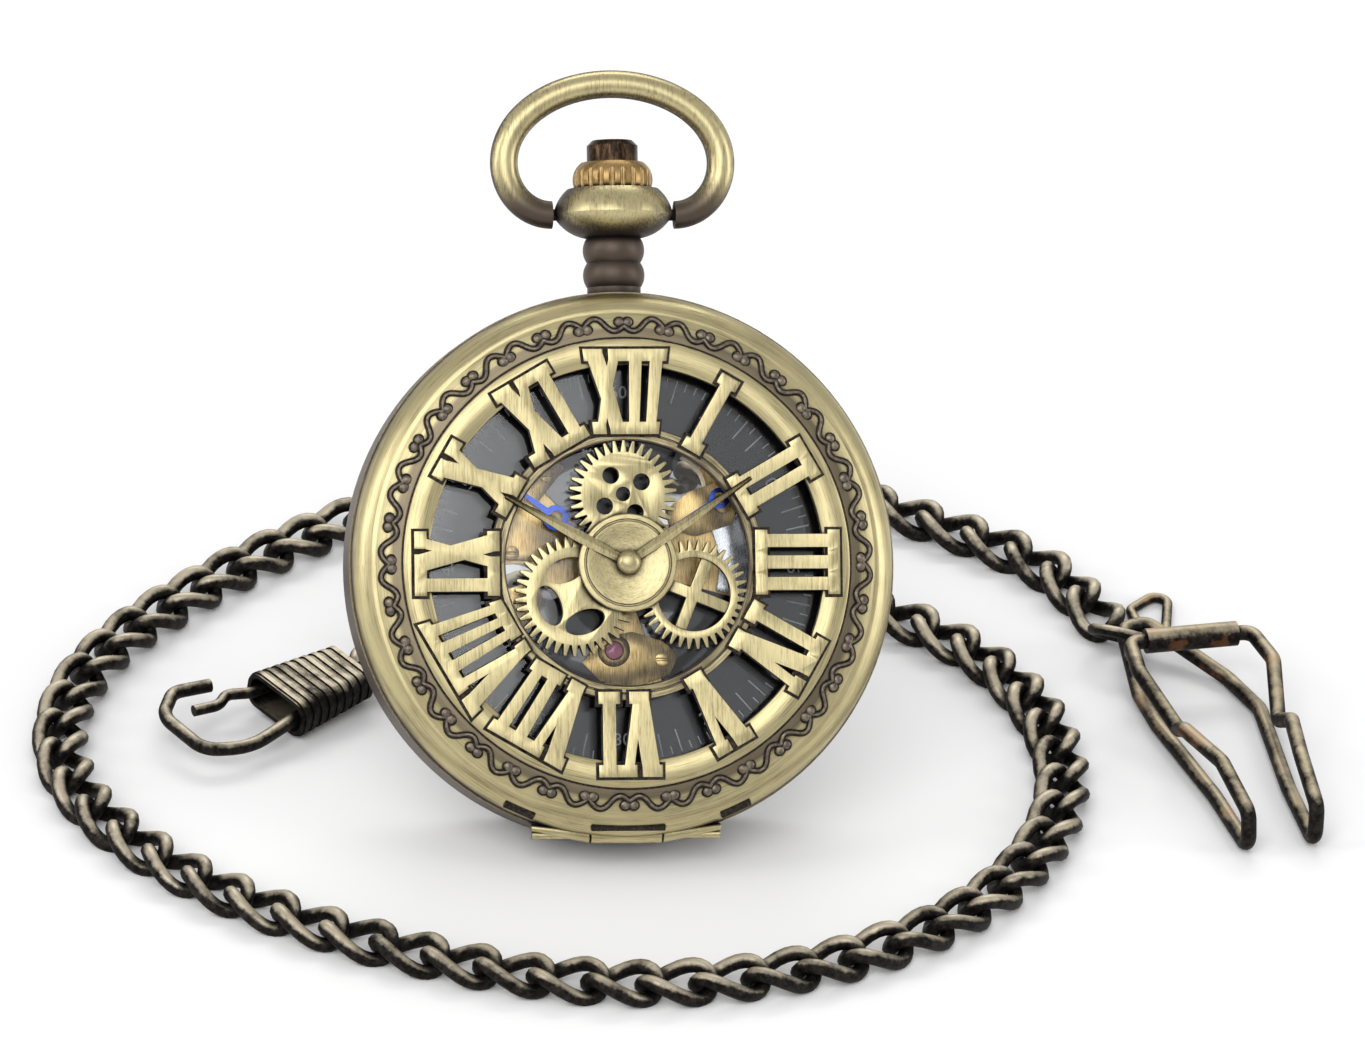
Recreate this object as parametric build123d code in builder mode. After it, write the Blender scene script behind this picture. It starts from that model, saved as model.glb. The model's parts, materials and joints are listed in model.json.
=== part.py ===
"""Half-hunter pocket watch with a pierced front cover, its curb chain, spring clasp and belt clip.

Millimetres, +Z up. The chain lies on z = 0 and the watch leans back over it, its rim on the
same surface. FACE is the watch's own frame: x to the right, y towards the crown, z out of the
dial. Heights called "level" are measured along FACE's z, and "up" along FACE's y.
"""
from build123d import *
from math import atan2, cos, degrees, pi, radians, sin, sqrt, tan
import os

os.makedirs("parts", exist_ok=True)

# ---- driving dimensions ----------------------------------------------------------------------
LEAN = 35.0                  # how far the watch leans back from upright, degrees
RUNNING = 0.03               # radial clearance of shafts in their bores
COVER_GAP = 0.15             # between the closed cover and the band
GEAR_GAP = 0.10              # between the tips of two meshing wheels

CASE_RADIUS = 23.5
CASE_BORE = 21.0
CASE_FRONT = 2.0             # level of the band's front face
CASE_BACK = -4.0
CASE_EDGE = 1.2              # rounding of the band's back edge

BACK_LEVEL = -7.0            # level of the back bezel's flat face
BACK_RADIUS = CASE_RADIUS - CASE_EDGE
BACK_FACE_OUTER = CASE_BORE - 0.4
BACK_FACE_INNER = CASE_BORE - 3.4
REAR_CRYSTAL = 0.8           # thickness

CRYSTAL_RADIUS = CASE_BORE - 1.1
CRYSTAL_LEVEL = CASE_FRONT + 0.2
CRYSTAL_EDGE = 0.8
CRYSTAL_DOME = 0.5
BEZEL_LIP = CASE_BORE - 1.8
BEZEL_TOP = CASE_FRONT + 1.1

DIAL_OUTER = CASE_BORE - 0.6
DIAL_INNER = DIAL_OUTER - 9.0
DIAL_LEVEL = 0.6
DIAL_THICK = 0.3

COVER_RADIUS = CASE_RADIUS - 0.2
COVER_SHOULDER = COVER_RADIUS - 1.7    # where the domed rim meets the ornament band
COVER_BAND = COVER_SHOULDER - 2.4      # inner edge of the ornament band
COVER_TOP = CASE_FRONT + 3.6           # level of the pierced plate
COVER_WALL = 0.9
WINDOW_OUTER = COVER_BAND - 2.2
WINDOW_INNER = WINDOW_OUTER - 5.4
HUB_RING_INNER = WINDOW_INNER - 1.15
HUB_RADIUS = 4.2
NUMERAL_STROKE = 0.85

HINGE_UP = 0.25 - COVER_RADIUS   # hinge axis, below the watch's centre
HINGE_LEVEL = CASE_FRONT + 0.2
KNUCKLE_RADIUS = 0.75
HINGE_PIN = 0.35
HINGE_HALF = 8.2             # half the hinge's length
HINGE_SLOT = 3.15            # half the middle knuckle's space
KNUCKLE_GAP = 0.12

STEM_LEVEL = -1.0            # level of the pendant, the crown and the bow
STEM_RADIUS = 0.7
PENDANT_FOOT = 2.3
BEAD_RADIUS = 2.65
PENDANT_BULGE = 5.15
BOW_AXIS = CASE_RADIUS + 6.9 # up from the watch's centre
CROWN_LOW = BOW_AXIS + 1.5
CROWN_HIGH = CROWN_LOW + 3.0
CROWN_RADIUS = 3.45
CROWN_FLUTES = 22
BUTTON_RADIUS = 2.2
BUTTON_LOW = CROWN_LOW + 1.4
BUTTON_TOP = CROWN_HIGH + 1.9
BUTTON_TRAVEL = 0.8
BOW_WIRE = 1.2               # radius
BOW_HALF = 9.4               # half-width on the wire's centre line
BOW_WIDEST = BOW_AXIS + 4.5
BOW_RISE = 6.8               # from the widest place up to the top

PLATE_RADIUS = CASE_BORE - 3.4
PLATE_FRONT = 0.1
PLATE_BACK = -2.2
BRIDGE_FRONT = -4.6
BRIDGE_BACK = -5.3
ARBOR = 0.35                 # radius of a wheel's shaft, and the levels it runs between
ARBOR_LOW = -4.5
ARBOR_HIGH = -2.3
PIVOT = 0.2                  # radius of the shaft's thin ends
PIVOT_LOW = -5.2
PIVOT_HIGH = -1.5
JEWEL_RADIUS = 1.0

CHAIN_WIDTH = 4.8
CHAIN_THICK = 2.6
CLASP_WIRE = 0.6
GATE_WIRE = 0.5
CLIP_WIRE = 0.68

# ---- frames ----------------------------------------------------------------------------------
lean_sin = sin(radians(LEAN))
lean_cos = cos(radians(LEAN))
watch_height = (CASE_RADIUS - CASE_EDGE) * lean_cos - (CASE_BACK + CASE_EDGE) * lean_sin + CASE_EDGE
front_reach = (COVER_RADIUS - 0.55) * lean_sin + (CASE_FRONT + 1.75) * lean_cos
back_reach = (BOW_WIDEST + BOW_RISE) * lean_sin - STEM_LEVEL * lean_cos + BOW_WIRE
watch_setback = (front_reach - back_reach) / 2

FACE = Plane(origin=(0, watch_setback, watch_height), x_dir=(1, 0, 0), z_dir=(0, -lean_cos, lean_sin))
SECTION = Plane(origin=FACE.origin, x_dir=FACE.x_dir, z_dir=-FACE.y_dir)
WATCH_AXIS = Axis(FACE.origin, FACE.z_dir)


def at(right, up, level):
    """A point given in the watch's frame."""
    return FACE.origin + FACE.x_dir * right + FACE.y_dir * up + FACE.z_dir * level


def face_plane(level, right=0.0, up=0.0):
    """A plane parallel to the dial."""
    return Plane(origin=at(right, up, level), x_dir=FACE.x_dir, z_dir=FACE.z_dir)


def stem_plane(up):
    """A plane across the stem, looking down on the crown."""
    return Plane(origin=at(0, up, STEM_LEVEL), x_dir=FACE.x_dir, z_dir=FACE.y_dir)


STEM_SECTION = Plane(origin=at(0, 0, STEM_LEVEL), x_dir=FACE.x_dir, z_dir=FACE.z_dir)
STEM_AXIS = Axis(STEM_SECTION.origin, FACE.y_dir)
HINGE_PLANE = Plane(origin=at(0, HINGE_UP, HINGE_LEVEL), x_dir=FACE.y_dir, z_dir=FACE.x_dir)


def finish(name, part):
    """Label a finished piece and write its STEP file."""
    part.label = name
    export_step(part, f"parts/{name}.step")


# ---- shared shapes ---------------------------------------------------------------------------
def toothed_face(teeth, tip, root):
    """The flat face of a toothed wheel."""
    pitch = 2 * pi / teeth
    points = []
    for tooth in range(teeth):
        for share, radius in ((0.0, root), (0.35, root), (0.5, tip), (0.85, tip)):
            angle = (tooth + share) * pitch
            points.append((radius * cos(angle), radius * sin(angle)))
    with BuildSketch() as face:
        with BuildLine():
            Polyline(*points, close=True)
        make_face()
    return face.sketch


def spiral_face(inner, outer, turns, thick):
    """A flat spiral band, for a coiled spring seen along its axis."""
    steps = 16 * turns
    outside = []
    inside = []
    for step in range(steps + 1):
        radius = inner + (outer - inner) * step / steps
        angle = 2 * pi * turns * step / steps
        outside.append(((radius + thick / 2) * cos(angle), (radius + thick / 2) * sin(angle)))
        inside.append(((radius - thick / 2) * cos(angle), (radius - thick / 2) * sin(angle)))
    with BuildSketch() as face:
        with BuildLine():
            Polyline(*outside, *reversed(inside), close=True)
        make_face()
    return face.sketch


def train_wheel(place, levels, tip, teeth, bore, spokes=5, pinion=None, arbor=None):
    """A spoked wheel with its pinion and arbor.

    levels are the wheel's two faces; pinion is (radius, leaves, low, high); arbor is a list of
    (radius, low, high) stretches of shaft."""
    right, up = place
    low, high = levels
    root = tip - 0.3
    rim = root - 0.45
    hub = max(bore + 0.5, rim * 0.24)
    wheel_face = toothed_face(teeth, tip, root)
    with BuildPart() as wheel:
        with BuildSketch(face_plane(low, right, up)):
            add(wheel_face)
            Circle(rim, mode=Mode.SUBTRACT)
            Circle(hub)
            with PolarLocations(rim / 2 + hub / 4, spokes):
                Rectangle(rim - hub / 2 + 0.2, max(0.35, rim * 0.11))
        extrude(amount=high - low)
        if pinion:
            radius, leaves, pinion_low, pinion_high = pinion
            with BuildSketch(face_plane(pinion_low, right, up)):
                add(toothed_face(leaves, radius, radius * 0.72))
            extrude(amount=pinion_high - pinion_low)
        for radius, shaft_low, shaft_high in arbor or []:
            with BuildSketch(face_plane(shaft_low, right, up)):
                Circle(radius)
            extrude(amount=shaft_high - shaft_low)
    return wheel.part


# ---- case ------------------------------------------------------------------------------------
with BuildPart() as case_band:
    with BuildSketch(SECTION):
        with BuildLine():
            Polyline(
                (CASE_BORE, CASE_FRONT),
                (CASE_BORE, CASE_BACK),
                (CASE_RADIUS - CASE_EDGE, CASE_BACK),
            )
            RadiusArc(
                (CASE_RADIUS - CASE_EDGE, CASE_BACK),
                (CASE_RADIUS, CASE_BACK + CASE_EDGE),
                -CASE_EDGE,
            )
            Polyline(
                (CASE_RADIUS, CASE_BACK + CASE_EDGE),
                (CASE_RADIUS, CASE_FRONT),
                (CASE_BORE, CASE_FRONT),
            )
        make_face()
    revolve(axis=WATCH_AXIS)
    with BuildSketch(stem_plane(CASE_BORE - 1)):
        Circle(STEM_RADIUS + 0.3)
    extrude(amount=CASE_RADIUS - CASE_BORE + 2, mode=Mode.SUBTRACT)
    with BuildSketch(stem_plane(CASE_BORE + 1.2)):
        Circle(PENDANT_FOOT)
    extrude(amount=CASE_RADIUS - CASE_BORE, mode=Mode.SUBTRACT)
    # room for the hinge knuckles of the cover
    for side in (-1, 1):
        middle = side * (HINGE_SLOT + HINGE_HALF) / 2
        with BuildSketch(HINGE_PLANE.offset(middle)):
            Circle(KNUCKLE_RADIUS + KNUCKLE_GAP)
        extrude(amount=(HINGE_HALF - HINGE_SLOT) / 2 + KNUCKLE_GAP, both=True, mode=Mode.SUBTRACT)
    # the case's own knuckle
    with BuildSketch(HINGE_PLANE):
        Circle(KNUCKLE_RADIUS)
        Circle(HINGE_PIN, mode=Mode.SUBTRACT)
    extrude(amount=HINGE_SLOT - KNUCKLE_GAP, both=True)
    with BuildSketch(HINGE_PLANE):
        Circle(HINGE_PIN)
    extrude(amount=HINGE_SLOT, both=True, mode=Mode.SUBTRACT)
    # slot for the cover catch
    with BuildSketch(face_plane(0.4, 0, CASE_BORE + 0.6)):
        Rectangle(3.4, 1.5)
    extrude(amount=CASE_FRONT, mode=Mode.SUBTRACT)
finish("case_band", case_band.part)

with BuildPart() as hinge_pin:
    with BuildSketch(HINGE_PLANE):
        Circle(HINGE_PIN)
    extrude(amount=HINGE_HALF - 0.1, both=True)
finish("hinge_pin", hinge_pin.part)

with BuildPart() as back_bezel:
    with BuildSketch(SECTION):
        with BuildLine():
            Polyline(
                (BACK_FACE_OUTER, BACK_LEVEL),
                (BACK_FACE_INNER, BACK_LEVEL),
                (BACK_FACE_INNER, BACK_LEVEL + 0.9),
                (BACK_FACE_INNER + 1.4, BACK_LEVEL + 0.9),
                (CASE_BORE - 1.2, CASE_BACK + 1.0),
                (CASE_BORE, CASE_BACK + 1.0),
                (CASE_BORE, CASE_BACK),
                (BACK_RADIUS, CASE_BACK),
            )
            ThreePointArc(
                (BACK_RADIUS, CASE_BACK),
                (BACK_RADIUS - 0.35, (CASE_BACK + BACK_LEVEL) / 2 - 0.2),
                (BACK_FACE_OUTER, BACK_LEVEL),
            )
        make_face()
    revolve(axis=WATCH_AXIS)
    with BuildSketch(face_plane(BACK_LEVEL + 0.1)):
        Circle(BACK_FACE_INNER + 0.5)
    extrude(amount=REAR_CRYSTAL, mode=Mode.SUBTRACT)
finish("back_bezel", back_bezel.part)

with BuildPart() as rear_crystal:
    with BuildSketch(face_plane(BACK_LEVEL + 0.1)):
        Circle(BACK_FACE_INNER + 0.5)
    extrude(amount=REAR_CRYSTAL)
finish("rear_crystal", rear_crystal.part)

with BuildPart() as crystal_bezel:
    with BuildSketch(face_plane(DIAL_LEVEL + DIAL_THICK)):
        Circle(CASE_BORE)
        Circle(BEZEL_LIP, mode=Mode.SUBTRACT)
    extrude(amount=CRYSTAL_LEVEL - DIAL_LEVEL - DIAL_THICK)
    with BuildSketch(face_plane(CRYSTAL_LEVEL)):
        Circle(CASE_BORE)
        Circle(CRYSTAL_RADIUS, mode=Mode.SUBTRACT)
    extrude(amount=BEZEL_TOP - CRYSTAL_LEVEL)
finish("crystal_bezel", crystal_bezel.part)

crystal_dome_radius = (CRYSTAL_RADIUS ** 2 + CRYSTAL_DOME ** 2) / (2 * CRYSTAL_DOME)
with BuildPart() as front_crystal:
    with BuildSketch(face_plane(CRYSTAL_LEVEL)):
        Circle(CRYSTAL_RADIUS)
    extrude(amount=CRYSTAL_EDGE + CRYSTAL_DOME)
    with Locations(at(0, 0, CRYSTAL_LEVEL + CRYSTAL_EDGE + CRYSTAL_DOME - crystal_dome_radius)):
        Sphere(crystal_dome_radius, mode=Mode.INTERSECT)
finish("front_crystal", front_crystal.part)

with BuildPart() as dial:
    with BuildSketch(face_plane(DIAL_LEVEL)):
        Circle(DIAL_OUTER)
        Circle(DIAL_INNER, mode=Mode.SUBTRACT)
    extrude(amount=DIAL_THICK)
finish("dial", dial.part)

# ---- front cover -----------------------------------------------------------------------------
NUMERALS = ("XII", "I", "II", "III", "IV", "V", "VI", "VII", "VIII", "IX", "X", "XI")
STROKE_HALF = {"I": 0.55, "V": 1.15, "X": 1.25}    # half the width each letter takes


def numeral_strokes(numeral):
    """Offsets across the numeral of each stroke's inner and outer end."""
    width = sum(2 * STROKE_HALF[letter] for letter in numeral)
    left = -width / 2
    strokes = []
    for letter in numeral:
        half = STROKE_HALF[letter]
        middle = left + half
        if letter == "I":
            strokes.append((middle, middle))
        elif letter == "V":
            strokes.append((middle, middle - half + 0.4))
            strokes.append((middle, middle + half - 0.4))
        else:
            strokes.append((middle - half + 0.4, middle + half - 0.4))
            strokes.append((middle + half - 0.4, middle - half + 0.4))
        left += 2 * half
    return strokes


def stroke_outline(inner_shift, outer_shift):
    """The four corners of one stroke, its foot on the inner ring and its head on the rim."""
    half = NUMERAL_STROKE / 2
    foot = WINDOW_INNER - 0.4
    head = WINDOW_OUTER + 0.4
    return [
        (inner_shift - half, foot),
        (inner_shift + half, foot),
        (outer_shift + half, head),
        (outer_shift - half, head),
    ]


GEAR_MOTIFS = (              # right, up, tip radius, teeth, holes, hole radius, holes' circle
    (-0.3, 5.9, 4.55, 34, 4, 0.75, 1.9),
    (-4.5, -2.8, 5.1, 38, 4, 1.15, 2.6),
    (5.7, -2.7, 4.65, 36, 4, 1.1, 2.3),
)

with BuildPart() as front_cover:
    with BuildSketch(SECTION):
        with BuildLine():
            Line((COVER_RADIUS, CASE_FRONT + COVER_GAP), (COVER_RADIUS, CASE_FRONT + 0.8))
            ThreePointArc(
                (COVER_RADIUS, CASE_FRONT + 0.8),
                (COVER_RADIUS - 0.55, CASE_FRONT + 1.75),
                (COVER_SHOULDER, CASE_FRONT + 2.5),
            )
            Polyline(
                (COVER_SHOULDER, CASE_FRONT + 2.5),
                (COVER_BAND, COVER_TOP),
                (WINDOW_OUTER, COVER_TOP),
                (WINDOW_OUTER, COVER_TOP - COVER_WALL),
                (COVER_BAND - 0.2, COVER_TOP - COVER_WALL),
                (COVER_SHOULDER - 0.4, CASE_FRONT + 1.6),
            )
            ThreePointArc(
                (COVER_SHOULDER - 0.4, CASE_FRONT + 1.6),
                (COVER_RADIUS - 1.15, CASE_FRONT + 1.1),
                (COVER_RADIUS - 0.9, CASE_FRONT + COVER_GAP),
            )
            Line(
                (COVER_RADIUS - 0.9, CASE_FRONT + COVER_GAP),
                (COVER_RADIUS, CASE_FRONT + COVER_GAP),
            )
        make_face()
    revolve(axis=WATCH_AXIS)
    # pierced plate: numerals bridge from the inner ring to the rim
    with BuildSketch(face_plane(COVER_TOP - COVER_WALL)):
        Circle(WINDOW_INNER)
        Circle(HUB_RING_INNER, mode=Mode.SUBTRACT)
        for hour, numeral in enumerate(NUMERALS):
            with Locations(Location((0, 0, 0), (0, 0, -30.0 * hour))):
                for inner_shift, outer_shift in numeral_strokes(numeral):
                    Polygon(*stroke_outline(inner_shift, outer_shift), align=None)
    extrude(amount=COVER_WALL)
    # three gear shapes and the hub that joins them
    for right, up, tip, teeth, holes, hole_radius, hole_circle in GEAR_MOTIFS:
        with BuildSketch(face_plane(COVER_TOP - COVER_WALL, right, up)):
            add(toothed_face(teeth, tip, tip - 0.7))
            with PolarLocations(hole_circle, holes, start_angle=33):
                Circle(hole_radius, mode=Mode.SUBTRACT)
        extrude(amount=COVER_WALL)
    with BuildSketch(face_plane(COVER_TOP - COVER_WALL)):
        Circle(HUB_RADIUS)
    extrude(amount=COVER_WALL + 0.5)
    with BuildSketch(face_plane(COVER_TOP)):
        Circle(1.0)
    extrude(amount=1.3)
    # cast hands
    for angle, length, width in ((34, 12.6, 1.3), (180 - 28.7, 11.7, 1.9)):
        with BuildSketch(Plane(face_plane(COVER_TOP - 0.1).location * Location((0, 0, 0), (0, 0, angle)))):
            with BuildLine():
                Polyline((1.0, -width / 2), (length, -0.3), (length, 0.3), (1.0, width / 2), close=True)
            make_face()
        extrude(amount=0.8)
    # knuckles on each side of the case's own, and the clearance round that one
    with BuildSketch(HINGE_PLANE):
        Circle(KNUCKLE_RADIUS + KNUCKLE_GAP)
    extrude(amount=HINGE_SLOT, both=True, mode=Mode.SUBTRACT)
    for side in (-1, 1):
        middle = side * (HINGE_SLOT + HINGE_HALF) / 2
        with BuildSketch(HINGE_PLANE.offset(middle)):
            Circle(KNUCKLE_RADIUS)
            with Locations((0.55, 0.9)):
                Rectangle(1.0, 1.3)
        extrude(amount=(HINGE_HALF - HINGE_SLOT) / 2, both=True)
    with BuildSketch(HINGE_PLANE):
        Circle(HINGE_PIN + RUNNING)
    extrude(amount=HINGE_HALF + 1, both=True, mode=Mode.SUBTRACT)
    # recess that the catch hooks into
    with BuildSketch(face_plane(CASE_FRONT + 0.6, 0, COVER_RADIUS - 0.9)):
        Rectangle(3.4, 0.8)
    extrude(amount=0.7, mode=Mode.SUBTRACT)
finish("front_cover", front_cover.part)

with BuildPart() as cover_catch:
    with BuildSketch(face_plane(0.5, 0, CASE_BORE + 0.95)):
        Rectangle(2.8, 0.5)
    extrude(amount=CASE_FRONT + 0.75)
    with BuildSketch(face_plane(CASE_FRONT + 0.85, 0, CASE_BORE + 1.1)):
        Rectangle(2.8, 0.8)
    extrude(amount=0.4)
finish("cover_catch", cover_catch.part)

# ---- pendant, bow and crown ------------------------------------------------------------------
BEAD_LOW = CASE_RADIUS + 0.6     # where the first bead starts
BEAD_HEIGHT = (BOW_AXIS - 2.0 - BEAD_LOW) / 2
with BuildPart() as pendant:
    with BuildSketch(STEM_SECTION):
        with BuildLine():
            Polyline(
                (STEM_RADIUS + RUNNING, CASE_BORE + 1.2),
                (PENDANT_FOOT, CASE_BORE + 1.2),
                (PENDANT_FOOT, BEAD_LOW),
            )
            for bead in range(2):
                bead_low = BEAD_LOW + bead * BEAD_HEIGHT
                ThreePointArc(
                    (PENDANT_FOOT, bead_low),
                    (BEAD_RADIUS, bead_low + BEAD_HEIGHT / 2),
                    (PENDANT_FOOT, bead_low + BEAD_HEIGHT),
                )
            ThreePointArc(
                (PENDANT_FOOT, BEAD_LOW + 2 * BEAD_HEIGHT),
                (PENDANT_BULGE - 1.1, BOW_AXIS - 1.3),
                (PENDANT_BULGE, BOW_AXIS),
            )
            ThreePointArc(
                (PENDANT_BULGE, BOW_AXIS),
                (PENDANT_BULGE - 0.4, BOW_AXIS + 1.2),
                (PENDANT_BULGE - 1.2, BOW_AXIS + 2.2),
            )
            Polyline(
                (PENDANT_BULGE - 1.2, BOW_AXIS + 2.2),
                (CROWN_RADIUS + 0.25, BOW_AXIS + 2.2),
                (CROWN_RADIUS - 0.3, CROWN_LOW - 0.2),
                (STEM_RADIUS + RUNNING, CROWN_LOW - 0.2),
                (STEM_RADIUS + RUNNING, CASE_BORE + 1.2),
            )
        make_face()
    revolve(axis=STEM_AXIS)
    with BuildSketch(Plane(origin=at(0, BOW_AXIS, STEM_LEVEL), x_dir=FACE.y_dir, z_dir=FACE.x_dir)):
        Circle(0.5 + RUNNING)
    extrude(amount=PENDANT_BULGE + 1, both=True, mode=Mode.SUBTRACT)
    with BuildSketch(stem_plane(BOW_AXIS - 0.8)):
        Circle(CROWN_RADIUS - 0.45)
    extrude(amount=0.9 + CROWN_LOW - BOW_AXIS, mode=Mode.SUBTRACT)
finish("pendant", pendant.part)

BOW_END = PENDANT_BULGE + 0.15
with BuildPart() as bow:
    with BuildLine(STEM_SECTION) as bow_path:
        EllipticalCenterArc(
            (BOW_END, BOW_WIDEST), BOW_HALF - BOW_END, BOW_WIDEST - BOW_AXIS,
            start_angle=270, arc_size=90,
        )
        EllipticalCenterArc((0, BOW_WIDEST), BOW_HALF, BOW_RISE, start_angle=0, arc_size=180)
        EllipticalCenterArc(
            (-BOW_END, BOW_WIDEST), BOW_HALF - BOW_END, BOW_WIDEST - BOW_AXIS,
            start_angle=180, arc_size=90,
        )
    with BuildSketch(Plane(origin=at(BOW_END, BOW_AXIS, STEM_LEVEL), x_dir=FACE.y_dir, z_dir=FACE.x_dir)):
        Circle(BOW_WIRE)
    sweep(path=bow_path.wire())
    for side in (-1, 1):
        pin_plane = Plane(
            origin=at(side * (BOW_END + 0.2), BOW_AXIS, STEM_LEVEL),
            x_dir=FACE.y_dir,
            z_dir=FACE.x_dir * -side,
        )
        with BuildSketch(pin_plane):
            Circle(0.5)
        extrude(amount=1.9)
finish("bow", bow.part)

with BuildPart() as crown:
    with BuildSketch(STEM_SECTION):
        with BuildLine():
            Polyline(
                (STEM_RADIUS, CROWN_LOW),
                (CROWN_RADIUS - 0.75, CROWN_LOW),
            )
            ThreePointArc(
                (CROWN_RADIUS - 0.75, CROWN_LOW),
                (CROWN_RADIUS, (CROWN_LOW + CROWN_HIGH) / 2),
                (CROWN_RADIUS - 0.75, CROWN_HIGH),
            )
            Polyline(
                (CROWN_RADIUS - 0.75, CROWN_HIGH),
                (BUTTON_RADIUS + RUNNING, CROWN_HIGH),
                (BUTTON_RADIUS + RUNNING, BUTTON_LOW - BUTTON_TRAVEL - 0.2),
                (STEM_RADIUS, BUTTON_LOW - BUTTON_TRAVEL - 0.2),
                (STEM_RADIUS, CROWN_LOW),
            )
        make_face()
    revolve(axis=STEM_AXIS)
    with BuildSketch(stem_plane(CROWN_LOW - 0.1)):
        with PolarLocations(CROWN_RADIUS + 0.05, CROWN_FLUTES):
            Circle(0.27)
    extrude(amount=CROWN_HIGH - CROWN_LOW + 0.2, mode=Mode.SUBTRACT)
finish("crown", crown.part)

with BuildPart() as push_button:
    with BuildSketch(stem_plane(BUTTON_LOW)):
        Circle(BUTTON_RADIUS)
    extrude(amount=BUTTON_TOP - BUTTON_LOW)
    chamfer(push_button.faces().sort_by(STEM_AXIS)[-1].edges(), 0.45)
    with BuildSketch(stem_plane(BUTTON_LOW)):
        Circle(1.4)
    extrude(amount=2.4, mode=Mode.SUBTRACT)
finish("push_button", push_button.part)

SPRING_LOW = BUTTON_LOW - BUTTON_TRAVEL - 0.2
SPRING_HIGH = BUTTON_LOW + 2.4
SPRING_WIRE = 0.13
with BuildPart() as button_spring:
    with BuildLine() as spring_path:
        Helix(
            pitch=0.6,
            height=SPRING_HIGH - SPRING_LOW - 2.4 * SPRING_WIRE,
            radius=1.1,
            center=at(0, SPRING_LOW + 1.2 * SPRING_WIRE, STEM_LEVEL),
            direction=FACE.y_dir,
        )
    with BuildSketch(Plane(origin=spring_path.line @ 0, z_dir=spring_path.line % 0)):
        Circle(SPRING_WIRE)
    sweep(path=spring_path.line, is_frenet=True)
finish("button_spring", button_spring.part)

STEM_INNER = 12.9
with BuildPart() as winding_stem:
    with BuildSketch(stem_plane(STEM_INNER)):
        Circle(STEM_RADIUS)
    extrude(amount=SPRING_LOW - STEM_INNER)
    with BuildSketch(stem_plane(18.0)):
        Circle(STEM_RADIUS + 0.1)
        Circle(0.42, mode=Mode.SUBTRACT)
    extrude(amount=0.7, mode=Mode.SUBTRACT)
finish("winding_stem", winding_stem.part)

for pinion_name, pinion_low, pinion_high, leaves in (
    ("sliding_pinion", 13.1, 14.6, 12),
    ("winding_pinion", 14.7, 15.8, 14),
):
    pinion_face = toothed_face(leaves, 1.15, 0.95)
    with BuildPart() as stem_pinion:
        with BuildSketch(stem_plane(pinion_low)):
            add(pinion_face)
            Circle(STEM_RADIUS, mode=Mode.SUBTRACT)
        extrude(amount=pinion_high - pinion_low)
    finish(pinion_name, stem_pinion.part)

with BuildPart() as setting_lever:
    with BuildSketch(face_plane(STEM_LEVEL - 0.2, 2.3, 18.35)):
        Rectangle(3.5, 0.5)
        with Locations((1.3, 0.6)):
            Rectangle(0.9, 1.4)
    extrude(amount=0.4)
finish("setting_lever", setting_lever.part)

# ---- movement --------------------------------------------------------------------------------
def polar(radius, degrees):
    return (radius * cos(radians(degrees)), radius * sin(radians(degrees)))


def beyond(start, distance, degrees):
    return (start[0] + distance * cos(radians(degrees)), start[1] + distance * sin(radians(degrees)))


CENTRE_TIP = 5.6
CENTRE_PINION = 1.1
BARREL_TIP = 6.6
THIRD_TIP = 4.2
THIRD_PINION = 0.8
FOURTH_TIP = 3.6
FOURTH_PINION = 0.7
ESCAPE_TIP = 2.3
ESCAPE_PINION = 0.6
RATCHET_TIP = 5.0
CROWN_WHEEL_TIP = 3.4

BARREL_AT = polar(BARREL_TIP + CENTRE_PINION + GEAR_GAP, 125)
THIRD_AT = polar(CENTRE_TIP + THIRD_PINION + GEAR_GAP, -30)
FOURTH_AT = beyond(THIRD_AT, THIRD_TIP + FOURTH_PINION + GEAR_GAP, -49)
ESCAPE_AT = beyond(FOURTH_AT, FOURTH_TIP + ESCAPE_PINION + GEAR_GAP, -128)
PALLET_AT = beyond(ESCAPE_AT, ESCAPE_TIP + 1.0, 160)
BALANCE_AT = (-0.3, -7.4)
crown_wheel_up = BARREL_AT[1] + sqrt((RATCHET_TIP + CROWN_WHEEL_TIP + GEAR_GAP) ** 2 - BARREL_AT[0] ** 2)
CROWN_WHEEL_AT = (0.0, crown_wheel_up)
MINUTE_WHEEL_AT = (2.45, 1.6)

JEWELLED = {"third": THIRD_AT, "fourth": FOURTH_AT, "escape": ESCAPE_AT, "balance": BALANCE_AT}
BARREL_FEET = ((-13.5, 2.0), (-11.2, 12.0), (7.6, 13.2))
TRAIN_FEET = ((13.6, 3.0), (13.6, -9.4))
COCK_FOOT = (-9.6, -12.2)

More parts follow.
